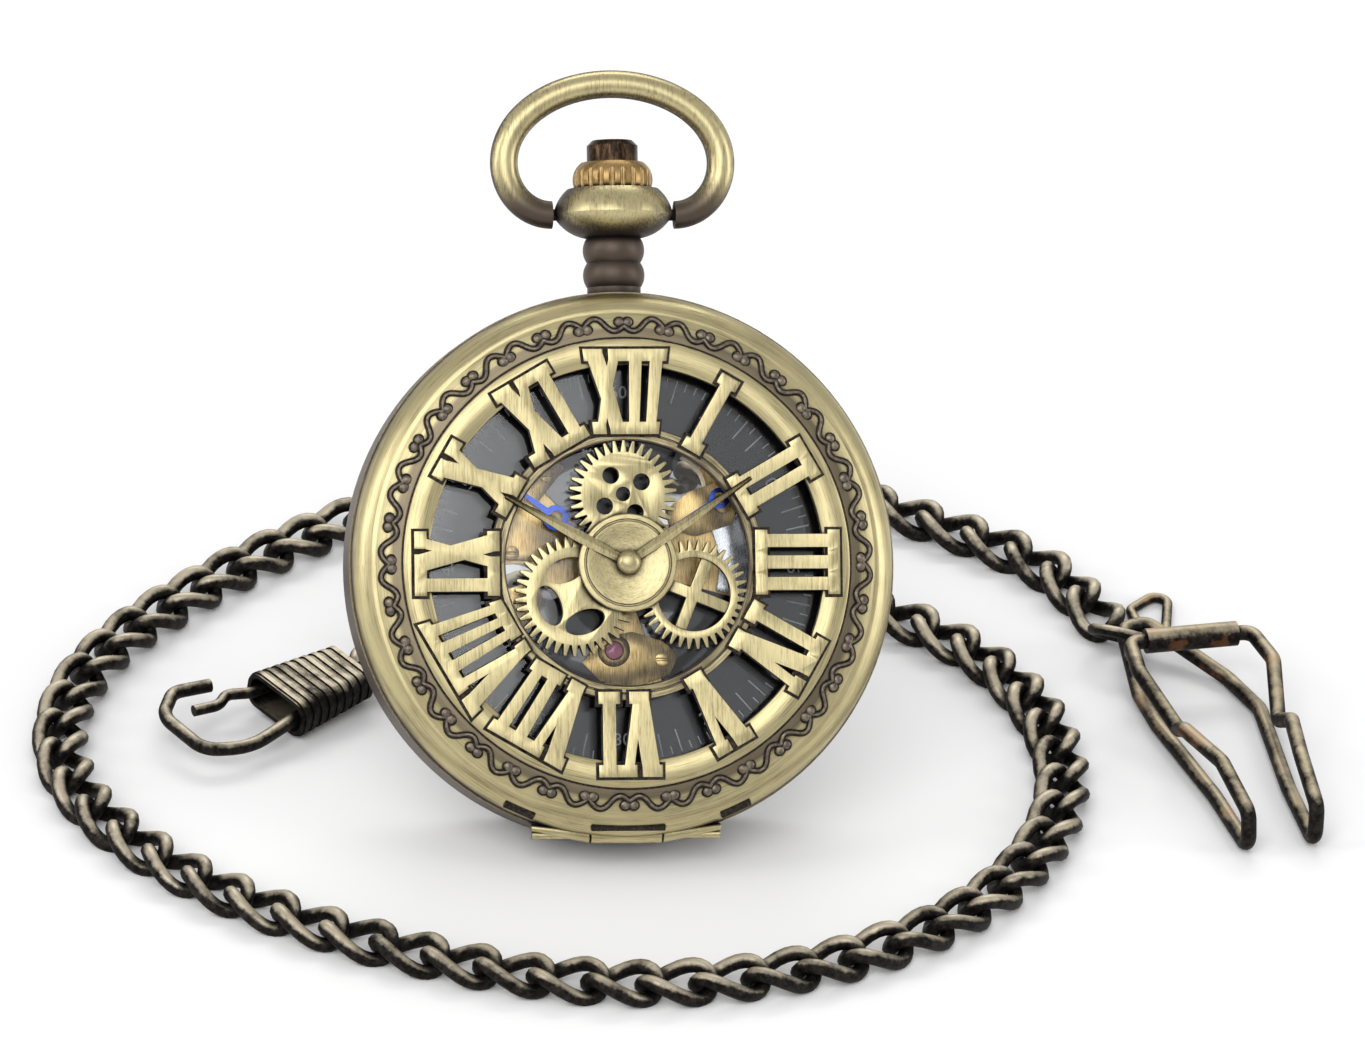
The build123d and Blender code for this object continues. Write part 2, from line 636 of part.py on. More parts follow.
with BuildPart() as main_plate:
    with BuildSketch(face_plane(PLATE_BACK)):
        Circle(PLATE_RADIUS)
        Circle(ARBOR + RUNNING, mode=Mode.SUBTRACT)
        with Locations(*JEWELLED.values()):
            Circle(JEWEL_RADIUS, mode=Mode.SUBTRACT)
        with Locations(PALLET_AT, BARREL_AT):
            Circle(PIVOT + RUNNING, mode=Mode.SUBTRACT)
        with Locations((0, 14.8)):
            Rectangle(3.0, 4.4, mode=Mode.SUBTRACT)
        with Locations((-9.0, -2.6), (4.6, 6.6)):
            Circle(3.0, mode=Mode.SUBTRACT)
        with Locations((10.4, 1.6), (10.8, 9.0), (-3.3, 12.6), (-9.4, 7.6), (-5.2, -13.2), (3.6, -14.3)):
            Circle(1.9, mode=Mode.SUBTRACT)
    extrude(amount=PLATE_FRONT - PLATE_BACK)
    with BuildSketch(face_plane(PLATE_FRONT - 0.3, *MINUTE_WHEEL_AT)):
        Circle(0.3)
    extrude(amount=1.0)
    with BuildSketch(stem_plane(PLATE_RADIUS - 4)):
        Circle(STEM_RADIUS + RUNNING)
    extrude(amount=6, mode=Mode.SUBTRACT)
finish("main_plate", main_plate.part)

with BuildPart() as movement_ring:
    with BuildSketch(face_plane(PLATE_BACK)):
        Circle(CASE_BORE)
        Circle(PLATE_RADIUS, mode=Mode.SUBTRACT)
    extrude(amount=DIAL_LEVEL - PLATE_BACK)
    with BuildSketch(stem_plane(PLATE_RADIUS - 0.5)):
        Circle(STEM_RADIUS + 0.3)
    extrude(amount=5, mode=Mode.SUBTRACT)
    with BuildSketch(face_plane(STEM_LEVEL - 0.5, 2.2, 18.9)):
        Rectangle(4.6, 3.1)
    extrude(amount=1.0, mode=Mode.SUBTRACT)
finish("movement_ring", movement_ring.part)

with BuildPart() as jewels:
    with BuildSketch(face_plane(PLATE_BACK)):
        with Locations(*JEWELLED.values()):
            Circle(JEWEL_RADIUS)
            Circle(PIVOT + RUNNING, mode=Mode.SUBTRACT)
    extrude(amount=0.8)
    with BuildSketch(face_plane(BRIDGE_BACK)):
        with Locations(*JEWELLED.values()):
            Circle(JEWEL_RADIUS)
            Circle(PIVOT + RUNNING, mode=Mode.SUBTRACT)
    extrude(amount=BRIDGE_FRONT - BRIDGE_BACK)
finish("jewels", jewels.part)


def bridge(route, feet, holes):
    """A skeleton bridge: arms along the route of (right, up, radius), on posts from the main plate."""
    with BuildPart() as made:
        with BuildSketch(face_plane(BRIDGE_BACK)):
            for right, up, radius in route:
                with Locations((right, up)):
                    Circle(radius)
            for start, end in zip(route, route[1:]):
                run = Vector(end[0] - start[0], end[1] - start[1])
                with Locations(((start[0] + end[0]) / 2, (start[1] + end[1]) / 2)):
                    SlotCenterToCenter(
                        run.length, 1.6 * min(start[2], end[2]), rotation=degrees(atan2(run.Y, run.X))
                    )
            for right, up, radius in holes:
                with Locations((right, up)):
                    Circle(radius, mode=Mode.SUBTRACT)
        extrude(amount=BRIDGE_FRONT - BRIDGE_BACK)
        with BuildSketch(face_plane(BRIDGE_FRONT)):
            with Locations(*feet):
                Circle(1.15)
        extrude(amount=PLATE_BACK - BRIDGE_FRONT)
        with BuildSketch(face_plane(BRIDGE_BACK)):
            with Locations(*feet):
                Circle(SCREW_SHANK)
        extrude(amount=SCREW_LENGTH - 0.2, mode=Mode.SUBTRACT)
    return made.part


SCREW_SHANK = 0.55
SCREW_LENGTH = 1.8
CENTRE_HOLE = (0, 0, ARBOR + RUNNING)
train_route = [
    (*TRAIN_FEET[0], 1.7), (0, 0, 1.9), (*THIRD_AT, 1.8), (*FOURTH_AT, 1.8), (*TRAIN_FEET[1], 1.7),
    (*ESCAPE_AT, 1.8),
]
train_holes = [CENTRE_HOLE] + [(*JEWELLED[name], JEWEL_RADIUS) for name in ("third", "fourth", "escape")]
train_bridge = bridge(train_route, TRAIN_FEET, train_holes)
finish("train_bridge", train_bridge)

barrel_route = [
    (*BARREL_FEET[0], 1.7), (*BARREL_AT, 2.6), (*BARREL_FEET[1], 1.7), (*CROWN_WHEEL_AT, 2.0),
    (*BARREL_FEET[2], 1.7),
]
barrel_holes = [(*BARREL_AT, 0.6 + RUNNING), (*CROWN_WHEEL_AT, 0.8 + RUNNING)]
barrel_bridge = bridge(barrel_route, BARREL_FEET, barrel_holes)
finish("barrel_bridge", barrel_bridge)

cock_route = [(*BALANCE_AT, 1.7), (*COCK_FOOT, 2.1)]
balance_cock = bridge(cock_route, [COCK_FOOT], [(*BALANCE_AT, JEWEL_RADIUS)])
finish("balance_cock", balance_cock)

with BuildPart() as bridge_screws:
    with BuildSketch(face_plane(BRIDGE_BACK - 0.4)):
        with Locations(*BARREL_FEET, *TRAIN_FEET, COCK_FOOT):
            Circle(0.85)
            Rectangle(1.8, 0.22, mode=Mode.SUBTRACT)
    extrude(amount=0.4)
    with BuildSketch(face_plane(BRIDGE_BACK - 0.2)):
        with Locations(*BARREL_FEET, *TRAIN_FEET, COCK_FOOT):
            Circle(SCREW_SHANK)
    extrude(amount=SCREW_LENGTH)
finish("bridge_screws", bridge_screws.part)

centre_wheel = train_wheel(
    (0, 0), (-4.2, -3.9), CENTRE_TIP, 60, ARBOR, spokes=5,
    pinion=(CENTRE_PINION, 12, -3.9, -2.4), arbor=[(ARBOR, BRIDGE_BACK, 1.3)],
)
finish("centre_wheel", centre_wheel)

third_wheel = train_wheel(
    THIRD_AT, (-2.9, -2.6), THIRD_TIP, 48, ARBOR, spokes=5,
    pinion=(THIRD_PINION, 8, -4.4, -3.7), arbor=[(ARBOR, ARBOR_LOW, ARBOR_HIGH), (PIVOT, PIVOT_LOW, PIVOT_HIGH)],
)
finish("third_wheel", third_wheel)

fourth_wheel = train_wheel(
    FOURTH_AT, (-3.5, -3.3), FOURTH_TIP, 42, ARBOR, spokes=5,
    pinion=(FOURTH_PINION, 7, -3.3, -2.5), arbor=[(ARBOR, ARBOR_LOW, ARBOR_HIGH), (PIVOT, PIVOT_LOW, PIVOT_HIGH)],
)
finish("fourth_wheel", fourth_wheel)

escape_wheel = train_wheel(
    ESCAPE_AT, (-2.8, -2.6), ESCAPE_TIP, 15, PIVOT, spokes=4,
    pinion=(ESCAPE_PINION, 6, -3.7, -3.1), arbor=[(0.3, ARBOR_LOW, ARBOR_HIGH), (PIVOT, PIVOT_LOW, PIVOT_HIGH)],
)
finish("escape_wheel", escape_wheel)

PALLET_LOW = -2.8
with BuildPart() as pallet_fork:
    with BuildSketch(face_plane(PALLET_LOW, *PALLET_AT)):
        Circle(0.5)
        with Locations(Location((0, 0, 0), (0, 0, 70))):
            Rectangle(2.4, 0.45)
        with Locations(Location((-1.25, 0.62, 0), (0, 0, 153.5))):
            Rectangle(2.6, 0.36)
    extrude(amount=0.2)
    with BuildSketch(face_plane(-3.15, *PALLET_AT)):
        Circle(PIVOT)
    extrude(amount=1.6)
finish("pallet_fork", pallet_fork.part)

with BuildPart() as pallet_bridge:
    with BuildSketch(face_plane(-3.2, *PALLET_AT)):
        with Locations((0, 0)):
            Circle(0.6)
        with Locations((-0.4, -3.0)):
            Circle(0.8)
        make_hull()
        Circle(PIVOT + RUNNING, mode=Mode.SUBTRACT)
    extrude(amount=0.25)
    with BuildSketch(face_plane(-2.95, PALLET_AT[0] - 0.4, PALLET_AT[1] - 3.0)):
        Circle(0.7)
    extrude(amount=PLATE_BACK + 2.95)
finish("pallet_bridge", pallet_bridge.part)

BALANCE_RADIUS = 4.4
with BuildPart() as balance_wheel:
    with BuildSketch(face_plane(-3.8, *BALANCE_AT)):
        Circle(BALANCE_RADIUS)
        Circle(BALANCE_RADIUS - 0.6, mode=Mode.SUBTRACT)
        Circle(0.9)
        with Locations(Location((0, 0, 0), (0, 0, 20))):
            Rectangle(2 * BALANCE_RADIUS - 0.8, 0.5)
        Circle(0.3, mode=Mode.SUBTRACT)
    extrude(amount=0.35)
finish("balance_wheel", balance_wheel.part)

with BuildPart() as balance_staff:
    for radius, low, high in ((0.3, ARBOR_LOW, ARBOR_HIGH), (PIVOT, PIVOT_LOW, PIVOT_HIGH), (0.65, -3.45, -3.3)):
        with BuildSketch(face_plane(low, *BALANCE_AT)):
            Circle(radius)
        extrude(amount=high - low)
finish("balance_staff", balance_staff.part)

hairspring_face = spiral_face(0.6, 1.55, 5, 0.06)
with BuildPart() as hairspring:
    with BuildSketch(face_plane(-4.35, *BALANCE_AT)):
        add(hairspring_face)
        Circle(0.62)
        Circle(0.3, mode=Mode.SUBTRACT)
    extrude(amount=0.2)
finish("hairspring", hairspring.part)

BARREL_LOW = -3.6
BARREL_HIGH = -2.4
barrel_teeth = toothed_face(72, BARREL_TIP, BARREL_TIP - 0.35)
with BuildPart() as barrel:
    with BuildSketch(face_plane(BARREL_HIGH - 0.35, *BARREL_AT)):
        add(barrel_teeth)
    extrude(amount=0.35)
    with BuildSketch(face_plane(BARREL_LOW, *BARREL_AT)):
        Circle(BARREL_TIP - 0.5)
    extrude(amount=BARREL_HIGH - BARREL_LOW)
    with BuildSketch(face_plane(BARREL_LOW + 0.2, *BARREL_AT)):
        Circle(BARREL_TIP - 0.9)
    extrude(amount=0.75, mode=Mode.SUBTRACT)
    with BuildSketch(face_plane(BARREL_LOW - 0.1, *BARREL_AT)):
        Circle(0.6 + RUNNING)
    extrude(amount=2, mode=Mode.SUBTRACT)
finish("barrel", barrel.part)

mainspring_face = spiral_face(2.6, BARREL_TIP - 1.05, 8, 0.15)
with BuildPart() as mainspring:
    with BuildSketch(face_plane(BARREL_LOW + 0.25, *BARREL_AT)):
        add(mainspring_face)
    extrude(amount=0.65)
finish("mainspring", mainspring.part)

RATCHET_LOW = BRIDGE_BACK - 0.45
ratchet_face = toothed_face(40, RATCHET_TIP, RATCHET_TIP - 0.3)
with BuildPart() as ratchet_wheel:
    with BuildSketch(face_plane(RATCHET_LOW, *BARREL_AT)):
        add(ratchet_face)
    extrude(amount=0.35)
    with BuildSketch(face_plane(RATCHET_LOW, *BARREL_AT)):
        Circle(0.6)
    extrude(amount=BARREL_HIGH - RATCHET_LOW)
    with BuildSketch(face_plane(BARREL_HIGH, *BARREL_AT)):
        Circle(PIVOT)
    extrude(amount=1.2)
finish("ratchet_wheel", ratchet_wheel.part)

crown_wheel_face = toothed_face(25, CROWN_WHEEL_TIP, CROWN_WHEEL_TIP - 0.3)
contrate_face = toothed_face(20, 1.5, 1.25)
with BuildPart() as crown_wheel:
    with BuildSketch(face_plane(RATCHET_LOW, *CROWN_WHEEL_AT)):
        add(crown_wheel_face)
    extrude(amount=0.35)
    with BuildSketch(face_plane(RATCHET_LOW, *CROWN_WHEEL_AT)):
        Circle(0.8)
    extrude(amount=BARREL_HIGH - RATCHET_LOW)
    with BuildSketch(face_plane(-2.8, *CROWN_WHEEL_AT)):
        add(contrate_face)
    extrude(amount=0.5)
finish("crown_wheel", crown_wheel.part)

CLICK_AT = (BARREL_AT[0] - RATCHET_TIP - 1.4, BARREL_AT[1] + 1.6)
with BuildPart() as click:
    with BuildSketch(face_plane(RATCHET_LOW, *CLICK_AT)):
        with Locations((0, 0)):
            Circle(0.65)
        with Locations((0.55, -1.9)):
            Circle(0.3)
        make_hull()
    extrude(amount=0.35)
    with BuildSketch(face_plane(RATCHET_LOW + 0.35, *CLICK_AT)):
        Circle(0.3)
    extrude(amount=0.1)
finish("click", click.part)

# ---- motion work and hands -------------------------------------------------------------------
CANNON_RADIUS = 0.55
HOUR_PIPE = 0.95
with BuildPart() as cannon_pinion:
    with BuildSketch(face_plane(0.2)):
        Circle(CANNON_RADIUS)
    extrude(amount=1.55)
    with BuildSketch(face_plane(0.2)):
        add(toothed_face(12, 0.85, 0.65))
    extrude(amount=0.25)
    with BuildSketch(face_plane(0.2)):
        Circle(ARBOR + RUNNING)
    extrude(amount=1.2, mode=Mode.SUBTRACT)
finish("cannon_pinion", cannon_pinion.part)

hour_wheel_face = toothed_face(40, 2.1, 1.85)
with BuildPart() as hour_wheel:
    with BuildSketch(face_plane(0.5)):
        add(hour_wheel_face)
        Circle(CANNON_RADIUS + RUNNING, mode=Mode.SUBTRACT)
    extrude(amount=0.2)
    with BuildSketch(face_plane(0.7)):
        Circle(HOUR_PIPE)
        Circle(CANNON_RADIUS + RUNNING, mode=Mode.SUBTRACT)
    extrude(amount=0.6)
finish("hour_wheel", hour_wheel.part)

minute_wheel_tip = sqrt(MINUTE_WHEEL_AT[0] ** 2 + MINUTE_WHEEL_AT[1] ** 2) - 0.85 - GEAR_GAP
with BuildPart() as minute_wheel:
    with BuildSketch(face_plane(0.2, *MINUTE_WHEEL_AT)):
        add(toothed_face(36, minute_wheel_tip, minute_wheel_tip - 0.25))
        Circle(0.3 + RUNNING, mode=Mode.SUBTRACT)
    extrude(amount=0.2)
finish("minute_wheel", minute_wheel.part)


def hand(level, thick, degrees, length, width, eye, bore):
    """A tapered hand with an eye near its point."""
    turned = Plane(face_plane(level).location * Location((0, 0, 0), (0, 0, degrees)))
    with BuildPart() as made:
        with BuildSketch(turned):
            with BuildLine():
                Polyline((0, -width), (length, -0.15), (length, 0.15), (0, width), close=True)
            make_face()
            Circle(1.5)
            with Locations((length * 0.68, 0)):
                Circle(eye)
                Circle(eye * 0.55, mode=Mode.SUBTRACT)
            Circle(bore, mode=Mode.SUBTRACT)
        extrude(amount=thick)
    return made.part


HOUR_ANGLE = 180 - 37
MINUTE_ANGLE = 34
finish("hour_hand", hand(1.1, 0.15, HOUR_ANGLE, 10.2, 0.6, 1.1, HOUR_PIPE))
finish("minute_hand", hand(1.5, 0.15, MINUTE_ANGLE, 15.2, 0.5, 0.9, CANNON_RADIUS))

# ---- clasp -----------------------------------------------------------------------------------
CLASP_TURN = 37.3            # direction from the hook to the chain, in the ground plane
CLASP_ROLL = 6.0
SLEEVE_LENGTH = 8.9
SLEEVE_MOUTH = (7.5, 3.6)    # width and thickness at the mouth
SLEEVE_TAIL = (6.0, 3.0)
SLEEVE_WALL = 0.5
CLASP = Plane(
    Location((-28.0, 3.2, 2.2), (0, 0, CLASP_TURN)) * Location((0, 0, 0), (CLASP_ROLL, 0, 0))
)


def clasp_section(along):
    """A plane across the sleeve: its x is across the clasp and its y is up."""
    return Plane(origin=CLASP.from_local_coords((along, 0, 0)), x_dir=CLASP.y_dir, z_dir=CLASP.x_dir)


def sleeve_size(along, inset=0.0):
    share = along / SLEEVE_LENGTH
    width = SLEEVE_MOUTH[0] + (SLEEVE_TAIL[0] - SLEEVE_MOUTH[0]) * share
    thick = SLEEVE_MOUTH[1] + (SLEEVE_TAIL[1] - SLEEVE_MOUTH[1]) * share
    return width - 2 * inset, thick - 2 * inset


SLEEVE_RIBS = 9
with BuildPart() as clasp_sleeve:
    for along in (0, SLEEVE_LENGTH):
        width, thick = sleeve_size(along, 0.12)
        with BuildSketch(clasp_section(along)):
            RectangleRounded(width, thick, thick * 0.4)
    loft()
    for rib in range(SLEEVE_RIBS):
        along = 0.25 + rib * (SLEEVE_LENGTH - 0.8) / (SLEEVE_RIBS - 1)
        width, thick = sleeve_size(along)
        with BuildSketch(clasp_section(along)):
            RectangleRounded(width, thick, thick * 0.4)
        extrude(amount=0.45)
    for along in (-0.05, SLEEVE_LENGTH - 0.7):
        width, thick = sleeve_size(along, SLEEVE_WALL)
        with BuildSketch(clasp_section(along)):
            RectangleRounded(width, thick, thick * 0.4)
    loft(mode=Mode.SUBTRACT)
    eye_plane = Plane(
        origin=CLASP.from_local_coords((SLEEVE_LENGTH, 0, 0)), x_dir=CLASP.x_dir, z_dir=-CLASP.y_dir
    )
    with BuildSketch(eye_plane):
        with Locations((1.0, 0)):
            Rectangle(2.4, 2.4)
        with Locations((1.2, 0)):
            Circle(0.72, mode=Mode.SUBTRACT)
    extrude(amount=0.4, both=True)
finish("clasp_sleeve", clasp_sleeve.part)


def wire(points, radii, radius):
    """A round wire along straight runs joined by arcs."""
    with BuildPart() as made:
        with BuildLine() as path:
            FilletPolyline(*points, radius=radii)
        with BuildSketch(Plane(origin=path.line @ 0, z_dir=path.line % 0)):
            Circle(radius)
        sweep(path=path.wire(), transition=Transition.ROUND)
    return made.part


def clasp_points(points):
    return [CLASP.from_local_coords((along, across, 0)) for along, across in points]


HOOK_POINTS = [
    (7.6, -2.0), (0.5, -2.35), (-6.0, -3.4), (-9.6, -1.4), (-9.4, 4.2), (-6.4, 6.3), (-2.9, 5.3),
]
clasp_hook = wire(clasp_points(HOOK_POINTS), [8, 6, 2.2, 2.6, 1.8], CLASP_WIRE)
finish("clasp_hook", clasp_hook)

GATE_POINTS = [(3.6, 2.2), (-0.6, 2.5), (-2.6, 3.5), (-4.2, 2.7), (-6.6, 3.3)]
clasp_gate = wire(clasp_points(GATE_POINTS), [2.5, 1.2, 1.6], GATE_WIRE)
finish("clasp_gate", clasp_gate)

CLASP_RING_RADIUS = 1.9
RING_WIRE = 0.5
ring_centre = CLASP.from_local_coords((SLEEVE_LENGTH + 1.2 + CLASP_RING_RADIUS, 0, 0))


def ring(plane, radius, wire_radius):
    """A closed round ring of wire, lying in the plane."""
    section = Plane(origin=plane.from_local_coords((radius, 0, 0)), x_dir=plane.x_dir, z_dir=plane.y_dir)
    with BuildPart() as made:
        with BuildSketch(section):
            Circle(wire_radius)
        revolve(axis=Axis(plane.origin, plane.z_dir))
    return made.part


clasp_ring = ring(Plane(origin=ring_centre, x_dir=CLASP.x_dir, z_dir=CLASP.z_dir), CLASP_RING_RADIUS, RING_WIRE)
finish("clasp_ring", clasp_ring)

# ---- belt clip -------------------------------------------------------------------------------
CLIP_TURN = 8.5
CLIP = Plane(Location((53.4, 9.0, 0), (0, 0, CLIP_TURN)))
CLIP_BAR_HEIGHT = 5.0
CLIP_BAR_HALF = 4.6
CLIP_SLEEVE_RADIUS = 1.1


def clip_points(points):
    return [CLIP.from_local_coords(point) for point in points]


CLIP_RIGHT = [
    (0.25, 0, 5.0), (5.6, 0, 5.0), (6.2, -4.6, 4.9), (4.6, -11.6, 3.1), (4.9, -14.0, 4.6),
    (3.6, -20.5, 5.2), (3.1, -27.0, 4.0), (3.0, -27.6, 0.75), (3.4, -19.0, 0.75),
    (4.9, -6.0, 0.75), (3.6, -0.6, 0.75), (-1.8, 6.8, 2.5),
]
CLIP_LEFT = [
    (-4.2, 6.2, 2.5), (-5.0, -2.0, 0.75), (-4.9, -7.0, 0.75), (-3.4, -19.0, 0.75),
    (-3.0, -27.6, 0.75), (-3.1, -27.0, 4.0), (-3.6, -20.5, 5.2), (-4.9, -14.0, 4.6),
    (-4.6, -11.6, 3.1), (-6.2, -4.6, 4.9), (-5.6, 0, 5.0), (-0.25, 0, 5.0),
]
CLIP_RADII_RIGHT = [1.0, 2.5, 0.9, 0.9, 2.0, 1.1, 1.1, 8, 3, 2, 1.2]
CLIP_RADII_LEFT = [1.2, 2.5, 8, 8, 1.1, 1.1, 2.0, 0.9, 0.9, 2.5, 1.0]
clip_frame = wire(
    clip_points(CLIP_RIGHT + CLIP_LEFT), CLIP_RADII_RIGHT + CLIP_RADII_LEFT, CLIP_WIRE
)
finish("clip_frame", clip_frame)

bar_plane = Plane(
    origin=CLIP.from_local_coords((0, 0, CLIP_BAR_HEIGHT)), x_dir=CLIP.y_dir, z_dir=CLIP.x_dir
)
with BuildPart() as clip_sleeve:
    with BuildSketch(bar_plane):
        Circle(CLIP_SLEEVE_RADIUS)
        Circle(CLIP_WIRE, mode=Mode.SUBTRACT)
    extrude(amount=CLIP_BAR_HALF - 0.4, both=True)
finish("clip_sleeve", clip_sleeve.part)

# the ring threads the clip's left limb and leans down to the chain's last link
CLIP_RING_RADIUS = 2.4
clip_ring_plane = Plane(
    origin=CLIP.from_local_coords((-4.65, 5.55, 2.3)),
    x_dir=CLIP.x_dir * 0.8 - CLIP.z_dir * 0.3,
    z_dir=CLIP.x_dir * 0.3 + CLIP.y_dir * 0.5 + CLIP.z_dir * 0.8,
)
clip_ring = ring(clip_ring_plane, CLIP_RING_RADIUS, RING_WIRE)
finish("clip_ring", clip_ring)

JUMP_WIRE = 0.45
JUMP_POINTS = [(-1.4, 8.2, 0.5), (-1.5, 12.2, 0.5), (3.2, 15.6, 0.5), (0.6, 8.1, 0.5)]
clip_jump_ring = wire(clip_points(JUMP_POINTS), [0.9, 1.0], JUMP_WIRE)
finish("clip_jump_ring", clip_jump_ring)

# ---- chain -----------------------------------------------------------------------------------
CHAIN_ROUTE = [
    (-17.3, 12.6), (-8.5, 22.0), (8.0, 27.0), (25.0, 22.5), (38.0, 10.0), (41.0, -9.0),
    (33.0, -26.0), (17.0, -37.5), (-3.0, -40.8), (-22.0, -34.2), (-38.5, -22.8), (-48.3, -6.5),
    (-44.8, 11.0), (-31.5, 26.0), (-15.5, 38.0), (3.5, 45.0), (22.5, 42.5), (39.5, 31.0),
    (44.9, 24.9), (47.2, 17.5),
]


def route_radii(route):
    """The radius of each tangent arc: 0.45 of the shorter run over the tangent of half the turn."""
    radii = []
    for before, corner, after in zip(route, route[1:], route[2:]):
        run_in = Vector(*corner) - Vector(*before)
        run_out = Vector(*after) - Vector(*corner)
        shorter = min(run_in.length, run_out.length)
        radii.append(0.45 * shorter / tan(radians(run_in.get_angle(run_out)) / 2))
    return radii


chain_radii = route_radii(CHAIN_ROUTE)
print("chain radii", [round(radius, 1) for radius in chain_radii])
with BuildLine(Plane.XY) as chain_path:
    FilletPolyline(*CHAIN_ROUTE, radius=chain_radii)
chain_length = chain_path.wire().length
start_direction = chain_path.wire() % 0
with BuildPart() as chain:
    with BuildSketch(
        Plane(origin=Vector(*CHAIN_ROUTE[0]) + Vector(0, 0, CHAIN_THICK / 2), x_dir=(0, 0, 1), z_dir=start_direction)
    ):
        Rectangle(CHAIN_THICK, CHAIN_WIDTH)
    sweep(path=chain_path.wire())
print("chain length", round(chain_length, 1), "volume over section times length",
      round(chain.part.volume / (chain_length * CHAIN_WIDTH * CHAIN_THICK), 4))
finish("chain", chain.part)
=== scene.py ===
# %% [markdown]
# # A pocket watch in antique brass
# The watch leans back over its own curb chain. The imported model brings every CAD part, in metres, with its
# place in its mesh. This lesson adds what CAD leaves out: chain links, raised numerals, scrolls, patina and
# wear.

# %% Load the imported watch
import json
import math
import random

import bpy
from mathutils import Matrix, Vector


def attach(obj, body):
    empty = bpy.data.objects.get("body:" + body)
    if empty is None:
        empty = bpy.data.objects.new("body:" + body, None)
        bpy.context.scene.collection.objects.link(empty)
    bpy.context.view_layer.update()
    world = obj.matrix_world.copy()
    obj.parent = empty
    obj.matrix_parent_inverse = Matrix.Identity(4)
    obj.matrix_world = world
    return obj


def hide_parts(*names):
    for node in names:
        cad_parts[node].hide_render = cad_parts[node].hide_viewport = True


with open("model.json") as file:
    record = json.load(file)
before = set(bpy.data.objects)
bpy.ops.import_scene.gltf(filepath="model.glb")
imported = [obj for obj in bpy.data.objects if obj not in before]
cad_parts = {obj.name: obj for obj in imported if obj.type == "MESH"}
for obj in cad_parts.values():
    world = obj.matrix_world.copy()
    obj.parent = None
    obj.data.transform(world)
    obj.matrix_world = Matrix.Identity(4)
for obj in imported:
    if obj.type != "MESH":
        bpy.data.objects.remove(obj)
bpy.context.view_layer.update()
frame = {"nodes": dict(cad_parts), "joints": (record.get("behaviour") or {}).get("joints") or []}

MM = 0.001
nodes = frame["nodes"]
joints = {joint["name"]: joint for joint in frame["joints"]}

# %% [markdown]
# ## The watch's own frame
# A watchmaker thinks in the dial's directions: right, up to the crown, and out of the glass. The joints
# give them, so every piece of the watch can be shaped lying flat, in millimetres, and then put in place by
# one matrix.

# %% Watch frame
right = Vector(joints["bow_swing"]["axis"]).normalized()
up = Vector(joints["stem_pull"]["axis"]).normalized()
out = Vector(joints["pallet_rock"]["axis"]).normalized()
watch_centre = Vector(joints["minute_hand_turn"]["pos_m"]) - out * MM
turned = Matrix((right, up, out)).transposed()
WATCH = Matrix.Translation(watch_centre) @ turned.to_4x4() @ Matrix.Scale(MM, 4)
print("watch centre", tuple(round(c, 5) for c in watch_centre))

# %% [markdown]
# ## Camera
# A long lens from far away keeps the watch's circles nearly round, as a product photographer would. The
# camera stands a little to the left, 31 degrees above the table, and is rolled a few degrees.

# %% Camera
LENS = 307.5
DISTANCE = 1.0
azimuth, elevation, roll = math.radians(-9), math.radians(31), math.radians(4.4)
cam_back = Vector((
    math.sin(azimuth) * math.cos(elevation),
    -math.cos(azimuth) * math.cos(elevation),
    math.sin(elevation),
))
level_right = Vector((math.cos(azimuth), math.sin(azimuth), 0))
level_up = cam_back.cross(level_right)
cam_right = level_right * math.cos(roll) + level_up * math.sin(roll)
cam_up = level_up * math.cos(roll) - level_right * math.sin(roll)
focal = LENS / 36
aim_right, aim_up = -0.04652 / focal, -0.02784 / focal
cam_data = bpy.data.cameras.new("camera")
cam_data.lens = LENS
cam_data.sensor_width = 36
cam_data.clip_start = 0.05
camera = bpy.data.objects.new("camera", cam_data)
bpy.context.scene.collection.objects.link(camera)
eye = watch_centre + (cam_back - cam_right * aim_right - cam_up * aim_up) * DISTANCE
axes = Matrix((cam_right, cam_up, cam_back)).transposed().to_4x4()
camera.matrix_world = Matrix.Translation(eye) @ axes
bpy.context.scene.camera = camera
print("camera at", tuple(round(c, 3) for c in eye))

# %% [markdown]
# ## Bench tools
# Modelling by operator means: select nothing, add a primitive, shape it in edit mode, finish it with
# modifiers. These few helpers are the steps that every piece repeats.

# %% Selecting and shaping
def only(piece):
    """Make one object the only selected and active one."""
    bpy.ops.object.select_all(action="DESELECT")
    piece.select_set(True)
    bpy.context.view_layer.objects.active = piece
    return piece


def fresh(name):
    """Name the primitive that was just added."""
    piece = bpy.context.active_object
    piece.name = name
    piece.data.name = name
    return piece


def pick(piece, test, kind="FACE"):
    """Enter edit mode with the faces, edges or points chosen whose centre passes the test."""
    only(piece)
    mesh = piece.data
    bpy.ops.object.mode_set(mode="EDIT")
    bpy.ops.mesh.select_mode(type=kind)
    bpy.ops.mesh.select_all(action="DESELECT")
    bpy.ops.object.mode_set(mode="OBJECT")
    if kind == "FACE":
        for face in mesh.polygons:
            face.select = test(face.center, face.normal)
    elif kind == "VERT":
        for point in mesh.vertices:
            point.select = test(point.co, point.normal)
    else:
        for edge in mesh.edges:
            start, end = (mesh.vertices[i].co for i in edge.vertices)
            edge.select = test((start + end) / 2, end - start)
    bpy.ops.object.mode_set(mode="EDIT")


def done():
    """Leave edit mode."""
    bpy.ops.object.mode_set(mode="OBJECT")


